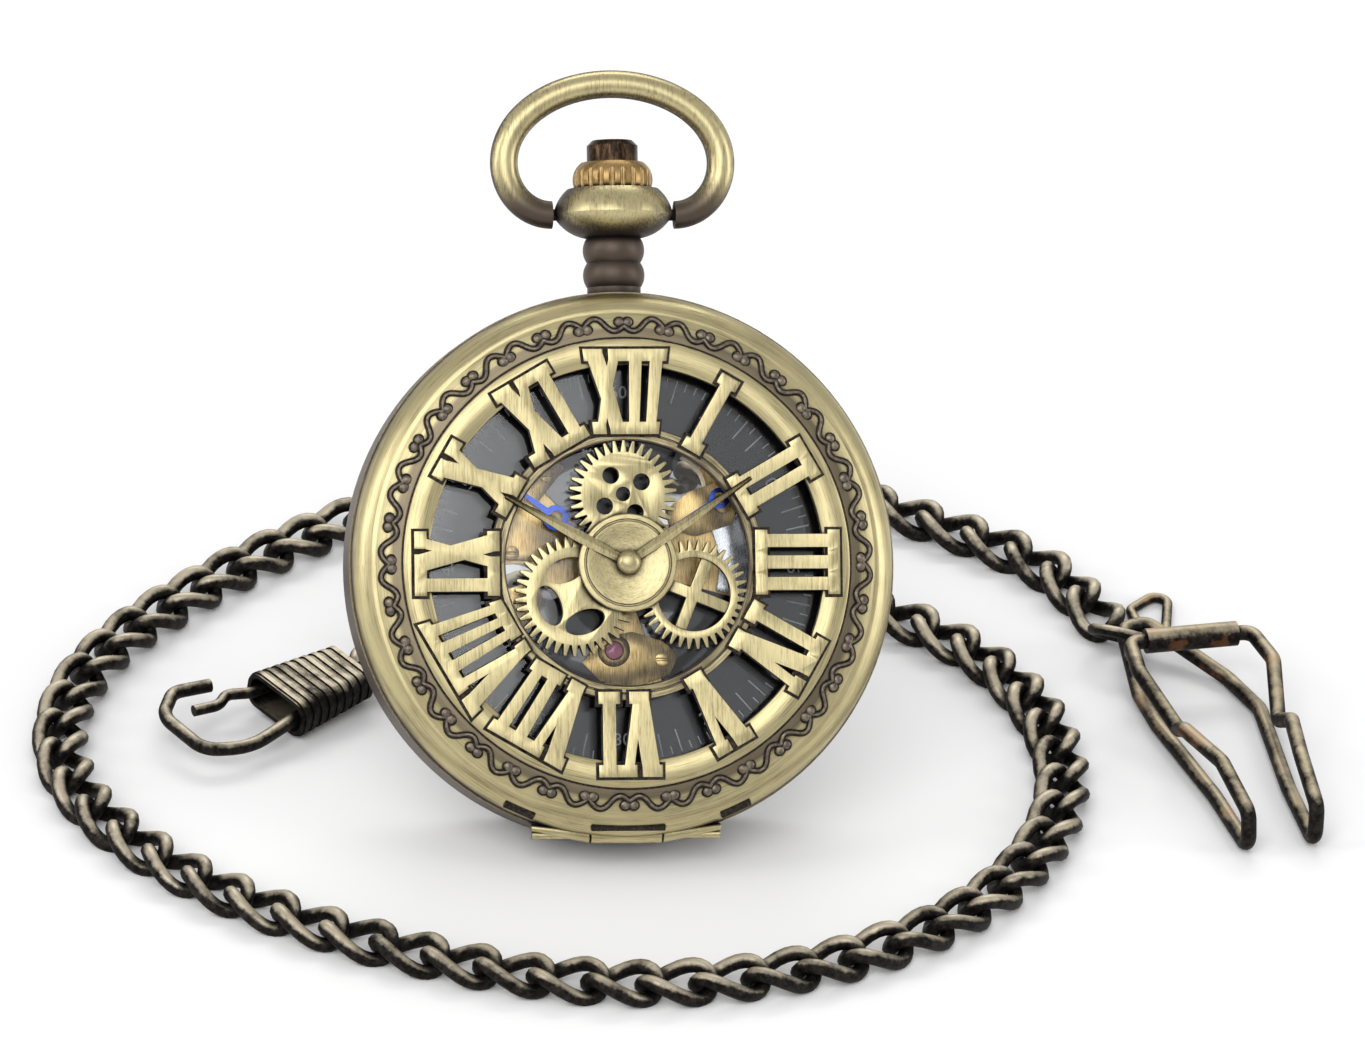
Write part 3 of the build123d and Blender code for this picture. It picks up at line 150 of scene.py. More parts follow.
def modify(piece, kind, **settings):
    """Add a modifier, set it, and apply it."""
    only(piece)
    modifier = piece.modifiers.new(kind.lower(), kind)
    for key, value in settings.items():
        setattr(modifier, key, value)
    bpy.ops.object.modifier_apply(modifier=modifier.name)
    return piece


def copy_of(piece, name, matrix):
    """A copy with its own mesh, moved by a matrix."""
    twin = piece.copy()
    twin.data = piece.data.copy()
    twin.name = name
    bpy.context.scene.collection.objects.link(twin)
    twin.data.transform(matrix)
    return twin


def join(pieces, name):
    """Join several pieces into the first."""
    bpy.ops.object.select_all(action="DESELECT")
    for piece in pieces:
        piece.select_set(True)
    bpy.context.view_layer.objects.active = pieces[0]
    if len(pieces) > 1:
        bpy.ops.object.join()
    pieces[0].name = name
    pieces[0].data.name = name
    return pieces[0]


def welded(pieces, name):
    """Several overlapping solids made one by booleans."""
    first = pieces[0]
    for other in pieces[1:]:
        modify(first, "BOOLEAN", operation="UNION", object=other, solver="EXACT")
        bpy.data.objects.remove(other)
    first.name = name
    first.data.name = name
    return first


def bake_place(piece):
    """Put the object's place, turn and size into its mesh."""
    only(piece)
    bpy.ops.object.transform_apply(location=True, rotation=True, scale=True)
    return piece


def turn_z(degrees):
    return Matrix.Rotation(math.radians(degrees), 4, "Z")


def shift(x, y, z=0.0):
    return Matrix.Translation((x, y, z))


def spun(name, profile, steps=96, centre=(0, 0, 0), axis=(0, 0, 1), across=(1, 0, 0)):
    """A turned piece: the outline (radius, height) is spun once round the axis."""
    axis, across, centre = Vector(axis), Vector(across), Vector(centre)
    bpy.ops.object.select_all(action="DESELECT")
    bpy.ops.mesh.primitive_circle_add(vertices=len(profile), radius=1, fill_type="NOTHING")
    piece = fresh(name)
    for point, (radius, height) in zip(piece.data.vertices, profile):
        point.co = centre + across * radius + axis * height
    pick(piece, lambda centre, normal: True, "VERT")
    bpy.ops.mesh.spin(steps=steps, angle=2 * math.pi, center=tuple(centre), axis=tuple(axis))
    bpy.ops.mesh.select_all(action="SELECT")
    bpy.ops.mesh.remove_doubles(threshold=0.0005)
    bpy.ops.mesh.normals_make_consistent(inside=False)
    done()
    return piece


def settle(piece, matrix, body, finish, smooth=35):
    """Put a finished piece in place, give it its finish and let it ride on its body."""
    bake_place(piece)
    piece.data.transform(matrix)
    only(piece)
    bpy.ops.object.shade_smooth_by_angle(angle=math.radians(smooth))
    piece.data.materials.clear()
    piece.data.materials.append(finish)
    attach(piece, body)
    return piece


print("bench ready")

# %% [markdown]
# ## The curb chain's path
# A loose chain lies in easy curves. A NURBS spline never passes sharply through its control points, so it
# gives one smooth line, and the links are then laid along that line.

# %% Chain path
ROUTE = [
    (-17.3, 12.6), (-8.5, 22.0), (8.0, 27.0), (25.0, 22.5), (38.0, 10.0), (41.0, -9.0), (33.0, -26.0),
    (17.0, -37.5), (-3.0, -40.8), (-22.0, -34.2), (-38.5, -22.8), (-48.3, -6.5), (-44.8, 11.0), (-31.5, 26.0),
    (-15.5, 38.0), (3.5, 45.0), (22.5, 42.5), (39.5, 31.0), (44.9, 24.9), (47.2, 17.5),
]
CHAIN_HEIGHT = 1.3 * MM
path_data = bpy.data.curves.new("chain_path", "CURVE")
path_data.dimensions = "3D"
spline = path_data.splines.new("NURBS")
spline.points.add(len(ROUTE) - 1)
for point, (x, y) in zip(spline.points, ROUTE):
    point.co = (x * MM, y * MM, CHAIN_HEIGHT, 1)
spline.order_u = 3
spline.use_endpoint_u = True
spline.resolution_u = 24
path_object = bpy.data.objects.new("chain_path", path_data)
bpy.context.scene.collection.objects.link(path_object)
bpy.context.view_layer.update()
path_mesh = bpy.data.meshes.new_from_object(path_object)
path_points = [point.co.copy() for point in path_mesh.vertices]
bpy.data.objects.remove(path_object)
lengths = [0.0]
for start, end in zip(path_points, path_points[1:]):
    lengths.append(lengths[-1] + (end - start).length)
chain_length = lengths[-1]
print("chain length", round(chain_length, 4), "points", len(path_points))


def along(distance):
    """The point and direction that far along the chain's path."""
    distance = min(max(distance, 0.0), chain_length - 1e-9)
    i = next(k for k in range(1, len(lengths)) if lengths[k] > distance)
    share = (distance - lengths[i - 1]) / (lengths[i] - lengths[i - 1])
    start, end = path_points[i - 1], path_points[i]
    return start.lerp(end, share), (end - start).normalized()


# %% [markdown]
# ## One curb link
# A curb link is an oval of wire that has been twisted a quarter turn, so that a row of them lies flat. A
# closed curve with a round bevel is the easiest wire: its points go round an oval while the oval's plane
# turns.

# %% Link
LINK_REACH = 2.95
LINK_SIDE = 1.82
LINK_WIRE = 0.66
LINK_TWIST = math.radians(50)
LINK_PITCH = 4.6
link_data = bpy.data.curves.new("link", "CURVE")
link_data.dimensions = "3D"
link_data.bevel_depth = LINK_WIRE
link_data.bevel_resolution = 3
ROUND = 30
bend = link_data.splines.new("POLY")
bend.points.add(ROUND - 1)
for i, point in enumerate(bend.points):
    angle = 2 * math.pi * i / ROUND
    x = LINK_REACH * math.copysign(abs(math.cos(angle)) ** 0.85, math.cos(angle))
    y = LINK_SIDE * math.copysign(abs(math.sin(angle)) ** 0.75, math.sin(angle))
    twist = LINK_TWIST * x / LINK_REACH
    point.co = (x, y * math.cos(twist), y * math.sin(twist), 1)
bend.use_cyclic_u = True
link = bpy.data.objects.new("link", link_data)
bpy.context.scene.collection.objects.link(link)
only(link)
bpy.ops.object.convert(target="MESH")
link = bpy.context.active_object
print("one link", len(link.data.polygons), "faces")

# %% Lay the links along the path
random.seed(4)
links = []
LINK_COUNT = round(chain_length / (LINK_PITCH * MM))
first_gap = (chain_length - (LINK_COUNT - 1) * LINK_PITCH * MM) / 2
for i in range(LINK_COUNT):
    place, direction = along(first_gap + i * LINK_PITCH * MM)
    side = Vector((0, 0, 1)).cross(direction)
    stand = Matrix((direction, side, Vector((0, 0, 1)))).transposed().to_4x4()
    rock = Matrix.Rotation(math.radians(random.uniform(-5, 5)), 4, "X")
    matrix = Matrix.Translation(place) @ stand @ rock @ Matrix.Scale(MM, 4)
    links.append(copy_of(link, f"link_{i}", matrix))
bpy.data.objects.remove(link)
curb_chain = join(links, "curb_chain")
print("links", LINK_COUNT, "faces", len(curb_chain.data.polygons))

# %% [markdown]
# ## Writing materials as sums
# A material is a graph of nodes. Wrapping a socket in a small class lets a mask be written as ordinary
# arithmetic, and every other node comes from one method.

# %% Sockets with arithmetic
class Wire:
    """A socket whose sums build Math nodes."""

    def __init__(self, finish, socket):
        self.finish = finish
        self.socket = socket

    def sum(self, operation, first, second):
        return self.finish.node("ShaderNodeMath", {"operation": operation}, {0: first, 1: second})

    def __add__(self, other):
        return self.sum("ADD", self, other)

    def __sub__(self, other):
        return self.sum("SUBTRACT", self, other)

    def __mul__(self, other):
        return self.sum("MULTIPLY", self, other)

    def __truediv__(self, other):
        return self.sum("DIVIDE", self, other)

    def __pow__(self, other):
        return self.sum("POWER", self, other)

    def __rsub__(self, other):
        return self.sum("SUBTRACT", other, self)

    def __rtruediv__(self, other):
        return self.sum("DIVIDE", other, self)

    __radd__ = __add__
    __rmul__ = __mul__


class Finish:
    """A metal or stone finish, made of nodes."""

    def __init__(self, name, **fixed):
        self.material = bpy.data.materials.new(name)
        self.material.use_nodes = True
        self.tree = self.material.node_tree
        self.shader = self.tree.nodes["Principled BSDF"]
        for key, value in fixed.items():
            self.shader.inputs[key.replace("_", " ")].default_value = value

    def node(self, kind, settings=None, values=None, output=0):
        made = self.tree.nodes.new(kind)
        for key, value in (settings or {}).items():
            setattr(made, key, value)
        for key, value in (values or {}).items():
            if isinstance(value, Wire):
                self.tree.links.new(value.socket, made.inputs[key])
            else:
                made.inputs[key].default_value = value
        return Wire(self, made.outputs[output])

    def feed(self, **wires):
        for key, value in wires.items():
            self.tree.links.new(value.socket, self.shader.inputs[key.replace("_", " ")])

    def place(self):
        """Row-frame coordinates in metres."""
        return self.node("ShaderNodeTexCoord", output="Object")

    def in_watch(self, spread=(1, 1, 1)):
        """Coordinates in the watch's frame, in millimetres, each divided by its spread."""
        settings = {"vector_type": "TEXTURE"}
        values = {
            "Vector": self.place(),
            "Location": tuple(watch_centre),
            "Rotation": tuple(turned.to_euler("XYZ")),
            "Scale": tuple(MM * s for s in spread),
        }
        return self.node("ShaderNodeMapping", settings, values)

    def noise(self, where, scale, detail=3.0, rough=0.55):
        values = {"Vector": where, "Scale": scale, "Detail": detail, "Roughness": rough}
        return self.node("ShaderNodeTexNoise", {}, values)

    def between(self, value, low, high):
        """0 below low, 1 above high, smooth in between."""
        settings = {"interpolation_type": "SMOOTHSTEP"}
        return self.node("ShaderNodeMapRange", settings, {"Value": value, "From Min": low, "From Max": high})

    def blend(self, mask, below, above):
        """One colour turning into another as the mask goes from 0 to 1."""
        return self.node("ShaderNodeMix", {"data_type": "RGBA"}, {0: mask, 6: below, 7: above}, 2)

    def occlusion_shade(self, distance):
        """1 in tight corners and 0 on open surfaces, by ambient occlusion; darkening a colour by it paints
        shade into the corners.
        """
        settings = {"samples": 6}
        return 1 - self.node("ShaderNodeAmbientOcclusion", settings, {"Distance": distance}, "AO")

    def facing(self, direction):
        """How far a surface looks that way: 1 straight, 0 sideways, below 0 away from it."""
        looks = self.node("ShaderNodeTexCoord", output="Normal")
        values = {0: looks, 1: tuple(direction)}
        return self.node("ShaderNodeVectorMath", {"operation": "DOT_PRODUCT"}, values, "Value")

    def bump(self, height, depth, strength=1.0):
        return self.node("ShaderNodeBump", {}, {"Height": height, "Distance": depth, "Strength": strength})


print("finishes can be written as sums")

# %% [markdown]
# ## Antique brass
# Antique brass is plated dark and then brushed from the front, so open front surfaces are pale and streaked
# while sides and corners keep a purplish black; on top of that, light is painted in: fronts get a painted
# sheen, sides a painted shade, and corners painted shade. Sides are found from the surface's own direction,
# and corners by how much sky a point sees. The brush marks are noise stretched along the way that the buff
# ran: round the case on turned parts, straight on flat ones.

# %% Antique brass finish
PALE_BRASS = (0.57, 0.495, 0.275, 1)
MID_BRASS = (0.225, 0.185, 0.098, 1)
# DUSK_BRASS is the brass of sides turned from the front, partly dark plating and partly painted shade, and of
# the cover's patina band.
DUSK_BRASS = (0.105, 0.082, 0.066, 1)
PATINA = (0.026, 0.020, 0.022, 1)


def antique_brass(name, buff, edge=0.28, pale=PALE_BRASS, mid=MID_BRASS, reach=0.9, banded=False, fade=None):
    """buff is turned or straight; edge is how far a surface must face out of the watch's front to come out
    pale, pale partly from the buff and partly as painted sheen.

    fade is a pair of heights on the watch: below the first the front-facing paleness is taken away, so the
    surface stays dusk-dark, and above the second it is kept whole.
    """
    finish = Finish(name, Metallic=1.0)
    here = finish.in_watch()
    split = finish.node("ShaderNodeSeparateXYZ", {}, {"Vector": here})
    x, y, z = (Wire(finish, split.socket.node.outputs[i]) for i in range(3))
    radius = (x * x + y * y) ** 0.5
    if buff == "turned":
        angle = finish.node("ShaderNodeMath", {"operation": "ARCTAN2"}, {0: y, 1: x})
        lane = finish.node("ShaderNodeCombineXYZ", {}, {0: radius * 7.0, 1: z * 7.0, 2: angle * 2.6})
        streak = finish.noise(lane, 2.2, 4.0, 0.7)
    else:
        streak = finish.noise(finish.in_watch((0.16, 2.6, 0.3)), 1.3, 4.0, 0.7)
    cloud = finish.noise(here, 0.22, 3.0)
    speck = finish.noise(here, 3.2, 4.0, 0.7)
    corner_shade = finish.occlusion_shade(reach * MM)
    # Painted sheen and shade: surfaces facing out of the glass come out pale and sides dusk-dark, partly real
    # buffing, partly painted light.
    open_face = finish.facing(out) + (streak - 0.5) * 0.5 + (cloud - 0.5) * 0.3
    buffed_and_sheen = finish.between(open_face, edge - 0.2, edge + 0.22)
    if fade:
        buffed_and_sheen = buffed_and_sheen * finish.between(y, *fade)
    # Corners go towards PATINA: the dark plating left in hollows, plus painted corner shade from ambient
    # occlusion.
    patina_and_shade = finish.between(corner_shade * 1.5 + (speck - 0.5) * 0.3, 0.22, 0.72)
    tone = finish.between(streak + cloud * 0.35 + buffed_and_sheen * 0.14, 0.52, 0.90)
    brass = finish.blend(buffed_and_sheen, DUSK_BRASS, finish.blend(tone, mid, pale))
    if banded:
        shade = finish.between(radius, 20.55, 20.0) * finish.between(radius, 19.15, 19.3)
        brass = finish.blend(shade * 0.8, brass, DUSK_BRASS)
    finish.feed(
        Base_Color=finish.blend(patina_and_shade, brass, PATINA),
        Roughness=0.42 + streak * 0.14 + patina_and_shade * 0.18 - buffed_and_sheen * 0.14,
        Normal=finish.bump(streak + speck * 0.25, 0.012 * MM, 0.55),
    )
    return finish.material


turned_brass = antique_brass("turned_brass", "turned")
cover_brass = antique_brass("cover_brass", "turned", edge=0.25, banded=True)
ring_brass = antique_brass("ring_brass", "turned", edge=0.98, reach=0.7)
plate_brass = antique_brass("plate_brass", "straight", edge=0.45, reach=1.0)
# The bow is darker towards its lower ends, below the fade heights.
loop_brass = antique_brass("loop_brass", "straight", edge=0.42, fade=(30.6, 34.0))
crown_brass = antique_brass(
    "crown_brass", "straight", edge=0.1, pale=(0.46, 0.31, 0.13, 1), mid=(0.21, 0.13, 0.055, 1), reach=0.6
)
print("antique brass in six cuts")

# %% [markdown]
# ## Patina left in grooves
# Engraving shows because its floor stays dark. The same plating, never reached by the brush, is a satin
# brown-black with a little dust in it.

# %% Groove finish
def groove_patina():
    finish = Finish("groove_patina", Metallic=0.85)
    here = finish.in_watch()
    dust = finish.noise(here, 4.0, 4.0, 0.65)
    finish.feed(
        Base_Color=finish.blend(
            finish.between(dust, 0.4, 0.75), (0.018, 0.014, 0.013, 1), (0.085, 0.066, 0.045, 1)
        ),
        Roughness=0.42 + dust * 0.2,
        Normal=finish.bump(dust, 0.01 * MM, 0.5),
    )
    return finish.material


groove = groove_patina()


def half_rubbed():
    """The scroll's line and studs: patina with its top lightly rubbed."""
    finish = Finish("scroll_metal", Metallic=1.0)
    rub = finish.noise(finish.in_watch(), 2.4, 4.0, 0.65)
    finish.feed(
        Base_Color=finish.blend(
            finish.between(rub, 0.35, 0.75), (0.12, 0.10, 0.09, 1), (0.30, 0.255, 0.17, 1)
        ),
        Roughness=0.34 + rub * 0.15,
        Normal=finish.bump(rub, 0.01 * MM, 0.5),
    )
    return finish.material


scroll_metal = half_rubbed()

# %% [markdown]
# ## Worn gunmetal
# The chain, clasp and clip are blackened steel that has rubbed against cloth: tops and outsides show a warm
# pewter, undersides and inner bends stay black. The tops' paleness is also a painted highlight and the
# undersides' black a painted shade. The surface's own upward direction tells tops from undersides.

# %% Gunmetal finish
def worn_gunmetal(name, rubbed=(0.60, 0.53, 0.40, 1), shine=0.5, coppery=0.0, rub=0.5):
    finish = Finish(name, Metallic=1.0)
    here = finish.place()
    # Painted highlight: upward-facing surfaces are made paler, on top of the rubbed wear patches.
    top = finish.facing((0, 0, 1))
    patch = finish.noise(here, 260, 4.0, 0.6)
    scratch = finish.noise(here, 1500, 5.0, 0.75)
    # Painted shade: corners and inner bends are kept black by ambient occlusion.
    corner_shade = finish.occlusion_shade(1.0 * MM)
    mask = top * 0.62 + patch * 0.80 + scratch * 0.35 - corner_shade * 1.2
    wear_and_highlight = finish.between(mask, 1.02 - rub * 0.3, 1.36 - rub * 0.3)
    black = finish.blend(
        finish.between(scratch, 0.35, 0.7), (0.010, 0.009, 0.009, 1), (0.042, 0.036, 0.031, 1)
    )
    colour = finish.blend(wear_and_highlight, black, rubbed)
    if coppery:
        edge = finish.between(patch - corner_shade * 0.4, 0.56, 0.64)
        colour = finish.blend(edge * coppery, colour, (0.62, 0.25, 0.09, 1))
    finish.feed(
        Base_Color=colour,
        Roughness=0.52 - wear_and_highlight * 0.2 * shine + scratch * 0.12,
        Normal=finish.bump(scratch + patch * 0.6, 0.03 * MM, 0.5),
    )
    return finish.material


chain_steel = worn_gunmetal("chain_steel")
clasp_steel = worn_gunmetal("clasp_steel", rub=0.25)
clip_steel = worn_gunmetal("clip_steel", rubbed=(0.50, 0.43, 0.30, 1), coppery=0.18, rub=0.40)
print("gunmetal for chain, clasp and clip")

curb_chain.data.materials.clear()
curb_chain.data.materials.append(chain_steel)
only(curb_chain)
bpy.ops.object.shade_smooth()
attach(curb_chain, "chain")
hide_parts("chain")
print("chain ready for its fittings")

# %% [markdown]
# ## The front cover's shell
# The real cover is stamped from sheet: a domed rim, a sloping ornament band and a flat ring round the window.
# All of it is round, so one outline spun about the watch's axis makes it, wall and all.

# %% Cover shell
COVER_OUTLINE = [
    (23.3, 2.15), (23.32, 2.6), (23.25, 3.0), (23.05, 3.45), (22.75, 3.85), (22.35, 4.2), (21.95, 4.44),
    (21.7, 4.56), (21.55, 4.55), (21.45, 4.6), (19.4, 5.38), (19.28, 5.36), (19.2, 5.52), (19.1, 5.6),
    (17.05, 5.6), (16.98, 5.53), (16.98, 4.75), (17.05, 4.7), (18.9, 4.7), (21.2, 3.75), (22.2, 3.1),
    (22.4, 2.15),
]
cover_shell = spun("cover_shell", COVER_OUTLINE, steps=160)
settle(cover_shell, WATCH, "front_cover", cover_brass, smooth=50)
print("cover shell", len(cover_shell.data.polygons), "faces")

# %% [markdown]
# ## Hinge
# The cover turns on two short knuckles. Each starts as a cylinder whose outer end is drawn in and up, so
# that it dies into the round rim, and a bevel marks the joints between them. The slots that the press
# leaves beside and between them are dark bars let into the rim.

# %% Hinge knuckles and slots
HINGE_UP, HINGE_LEVEL = -23.05, 2.2
KNUCKLE_RADIUS, KNUCKLE_LENGTH, KNUCKLE_MIDDLE = 0.75, 5.0, 5.675
RIM_SLOPE = math.radians(41)


def knuckle(side):
    bpy.ops.object.select_all(action="DESELECT")
    bpy.ops.mesh.primitive_cylinder_add(
        vertices=40, radius=KNUCKLE_RADIUS, depth=KNUCKLE_LENGTH,
        location=(side * KNUCKLE_MIDDLE, HINGE_UP, HINGE_LEVEL),
        rotation=(0, math.pi / 2, 0),
    )
    piece = bake_place(fresh("knuckle"))
    pick(piece, lambda centre, normal: normal.x * side > 0.9)
    bpy.ops.transform.resize(value=(1, 0.45, 0.6))
    bpy.ops.transform.translate(value=(0, 0.62, 0.1))
    done()
    modify(piece, "BEVEL", width=0.12, segments=3, limit_method="ANGLE")
    return piece


def rim_slot(length, height, degrees, radius, level):
    """A dark bar let into the domed rim, at an angle counted from the bottom."""
    bpy.ops.object.select_all(action="DESELECT")
    bpy.ops.mesh.primitive_cube_add(size=1, scale=(length, height, 0.7), rotation=(RIM_SLOPE, 0, 0))
    piece = bake_place(fresh("rim_slot"))
    modify(piece, "BEVEL", width=0.08, segments=2)
    piece.data.transform(turn_z(degrees) @ shift(0, -radius, level))
    return piece


cover_knuckles = join([knuckle(-1), knuckle(1)], "cover_knuckles")
settle(cover_knuckles, WATCH, "front_cover", turned_brass)

rim_slots = join([
    rim_slot(6.4, 0.5, 0, 22.42, 3.86),
    rim_slot(2.8, 0.75, -24, 22.75, 3.5),
    rim_slot(2.8, 0.75, 24, 22.75, 3.5),
], "rim_slots")
settle(rim_slots, WATCH, "front_cover", groove)

# %% [markdown]
# ## Roman numerals
# The numerals are bridges of metal between the inner ring and the rim, so their strokes carry the middle of
# the cover. Each letter is made once from bevelled bars, and the letters are copied side by side. A
# slightly wider dark plate under every foot and head stands for the groove that the die leaves round them.

# %% Letters
FOOT, HEAD = 11.0, 18.3
STROKE_TOP = 5.88
STROKE_FLOOR = 4.75
SERIF = 1.05


def bar(name, low_x, high_x, width, low=FOOT, high=HEAD, floor=STROKE_FLOOR, top=STROKE_TOP, round_by=0.09):
    """A bevelled bar from the inner ring to the rim, slanted by moving its head sideways."""
    bpy.ops.object.select_all(action="DESELECT")
    middle = ((low + high) / 2, (floor + top) / 2)
    bpy.ops.mesh.primitive_cube_add(
        size=1, location=(low_x, middle[0], middle[1]), scale=(width, high - low, top - floor)
    )
    piece = bake_place(fresh(name))
    pick(piece, lambda centre, normal: normal.y > 0.9)
    bpy.ops.transform.translate(value=(high_x - low_x, 0, 0))
    done()
    if round_by:
        modify(piece, "BEVEL", width=round_by, segments=2)
    return piece


def serif(name, x, width, at_head, wide=0.0, **levels):
    """The cross bar at a stroke's head or foot."""
    low = HEAD - SERIF - wide if at_head else FOOT - wide
    return bar(name, x, x, width + 2 * wide, low, low + SERIF + 2 * wide, **levels)


LETTER_PARTS = {
    "I": ([(0, 0, 1.12)], [(0, 1.86, True), (0, 1.86, False)]),
    "V": ([(0.1, -1.0, 1.5), (0.1, 1.1, 0.85)], [(-1.0, 1.75, True), (1.05, 1.45, True), (0.1, 1.7, False)]),
    "X": (
        [(1.0, -1.0, 1.55), (-1.0, 1.05, 0.9)],
        [(-0.98, 1.72, True), (1.1, 1.5, True), (-1.08, 1.5, False), (0.98, 1.72, False)],
    ),
}
LETTER_WIDTH = {"I": 1.84, "V": 3.5, "X": 3.65}
letters = {}
for letter, (strokes, serifs) in LETTER_PARTS.items():
    metal = [bar("stroke", *stroke, round_by=0) for stroke in strokes]
    metal += [serif("serif", *ends, round_by=0) for ends in serifs]
    shade = [
        serif("groove", *ends, wide=0.24, floor=4.9, top=5.622, round_by=0) for ends in serifs
    ]
    letters[letter] = (welded(metal, f"letter_{letter}"), join(shade, f"groove_{letter}"))
print("letters", list(letters))

# %% Numerals round the dial
NUMERALS = ("XII", "I", "II", "III", "IV", "V", "VI", "VII", "VIII", "IX", "X", "XI")


def narrowed(piece, width):
    """Pull a wide numeral's foot in, so that neighbours don't meet at the inner ring."""
    foot = min(1.0, 5.6 / width)
    for point in piece.data.vertices:
        share = (point.co.y - FOOT) / (HEAD - FOOT)
        point.co.x *= foot + (1 - foot) * share
    return piece


metal_numerals, numeral_grooves = [], []
for hour, numeral in enumerate(NUMERALS):
    width = sum(LETTER_WIDTH[letter] for letter in numeral)
    left = -width / 2
    for part, made in ((0, metal_numerals), (1, numeral_grooves)):
        x = left
        copies = []
        for letter in numeral:
            x += LETTER_WIDTH[letter] / 2
            copies.append(copy_of(letters[letter][part], f"numeral_{hour}_{part}", shift(x, 0)))
            x += LETTER_WIDTH[letter] / 2
        row = (join if part else welded)(copies, f"numeral_{hour}_{part}")
        if not part:
            modify(row, "BEVEL", width=0.1, segments=2, limit_method="ANGLE", angle_limit=math.radians(40))
        narrowed(row, width)
        row.data.transform(turn_z(-30 * hour))
        made.append(row)
for pair in letters.values():
    for piece in pair:
        bpy.data.objects.remove(piece)
numerals = settle(join(metal_numerals, "numerals"), WATCH, "front_cover", plate_brass)
numeral_grooves = settle(
    join(numeral_grooves, "numeral_grooves"), WATCH, "front_cover", groove
)
print("numerals", len(numerals.data.polygons), "faces")

# %% [markdown]
# ## Inner ring
# The ring that the numerals stand on has a rounded inner lip and one engraved line.

# %% Inner ring
RING_OUTLINE = [
    (11.75, 4.75), (11.75, 5.5), (11.68, 5.57), (11.25, 5.57), (11.2, 5.48), (11.1, 5.48), (11.05, 5.6),
    (10.6, 5.64), (10.48, 5.55), (10.45, 5.4), (10.45, 4.75),
]
inner_ring = spun("inner_ring", RING_OUTLINE, steps=120)
settle(inner_ring, WATCH, "front_cover", ring_brass, smooth=40)

# %% [markdown]
# ## Gear ornaments
# Three pierced gears fill the middle. A circle with four points to a tooth is stretched outwards at the
# tips, given thickness, and its openings are cut by booleans, as a fret saw would cut them. The edge is
# then rounded.

# %% Gears
def gear_blank(name, teeth, tip, root, floor, top):
    """A toothed disc."""
    bpy.ops.object.select_all(action="DESELECT")
    bpy.ops.mesh.primitive_circle_add(vertices=teeth * 4, radius=root, fill_type="NGON")
    piece = fresh(name)
    step = 2 * math.pi / (teeth * 4)
    for point in piece.data.vertices:
        if round(math.atan2(point.co.y, point.co.x) / step) % 4 in (1, 2):
            point.co = point.co.normalized() * tip
    pick(piece, lambda centre, normal: True)
    bpy.ops.transform.translate(value=(0, 0, floor))
    bpy.ops.mesh.extrude_region_move(TRANSFORM_OT_translate={"value": (0, 0, top - floor)})
    bpy.ops.mesh.select_all(action="SELECT")
    bpy.ops.mesh.normals_make_consistent(inside=False)
    done()
    return piece


def rod(name, x, y, radius, low, high, sides=40, stretch=1.0, turn=0.0):
    """A round or oval rod standing on the cover."""
    bpy.ops.object.select_all(action="DESELECT")
    bpy.ops.mesh.primitive_cylinder_add(
        vertices=sides, radius=radius, depth=high - low, location=(x, y, (low + high) / 2),
        rotation=(0, 0, math.radians(turn)), scale=(1, stretch, 1),
    )
    return bake_place(fresh(name))


def cut(piece, cutters):
    """Saw the cutters out of a piece."""
    for cutter in cutters:
        modify(piece, "BOOLEAN", operation="DIFFERENCE", object=cutter, solver="EXACT")
        bpy.data.objects.remove(cutter)
    return piece


def spread(radius, count, first):
    """Places round a circle."""
    turns = [math.radians(first + 360 * i / count) for i in range(count)]
    return [(radius * math.cos(turn), radius * math.sin(turn), math.degrees(turn)) for turn in turns]


GEAR_FLOOR = 4.7
top_gear = gear_blank("top_gear", 34, 4.6, 3.62, GEAR_FLOOR, 5.62)
cut(
    top_gear,
    [rod("drill", x, y, 0.72, 4, 7) for x, y, turn in spread(1.9, 4, 33)] + [rod("drill", 0, 0, 0.62, 4, 7)],
)
left_gear = gear_blank("left_gear", 38, 5.15, 4.2, GEAR_FLOOR, 5.5)
cut(left_gear, [
    rod("saw", x, y, 1.02, 4, 7, stretch=1.75, turn=turn) for x, y, turn in spread(2.35, 4, 20)
])
right_gear = gear_blank("right_gear", 36, 4.7, 3.8, GEAR_FLOOR, 5.58)
cut(right_gear, [rod("saw", 0, 0, 3.15, 4, 7, sides=64)])
cross = bar("web", 0, 0, 1.0, -3.3, 3.3, 4.75, 5.45, round_by=0)
cross.data.transform(turn_z(90))
web = welded([bar("web", 0, 0, 1.0, -3.3, 3.3, 4.75, 5.45, round_by=0), cross], "web")
modify(web, "BEVEL", width=0.08, segments=2, limit_method="ANGLE")
web.data.transform(turn_z(-22))
gears = []
for gear, x, y in ((top_gear, -0.3, 5.9), (left_gear, -4.5, -2.8), (right_gear, 5.7, -2.7)):
    modify(gear, "BEVEL", width=0.07, segments=2, limit_method="ANGLE", angle_limit=math.radians(40))
    gear.data.transform(shift(x, y))
    gears.append(gear)
web.data.transform(shift(5.7, -2.7))
gear_ornaments = join(gears + [web], "gear_ornaments")
settle(gear_ornaments, WATCH, "front_cover", plate_brass, smooth=30)
print("gears", len(gear_ornaments.data.polygons), "faces")

# %% [markdown]
# ## Hub and cast hands
# The hub is a dished disc with an engraved line and a round knob in its middle. The two fixed hands are long
# tapered blades with a ridge, cast with the cover.

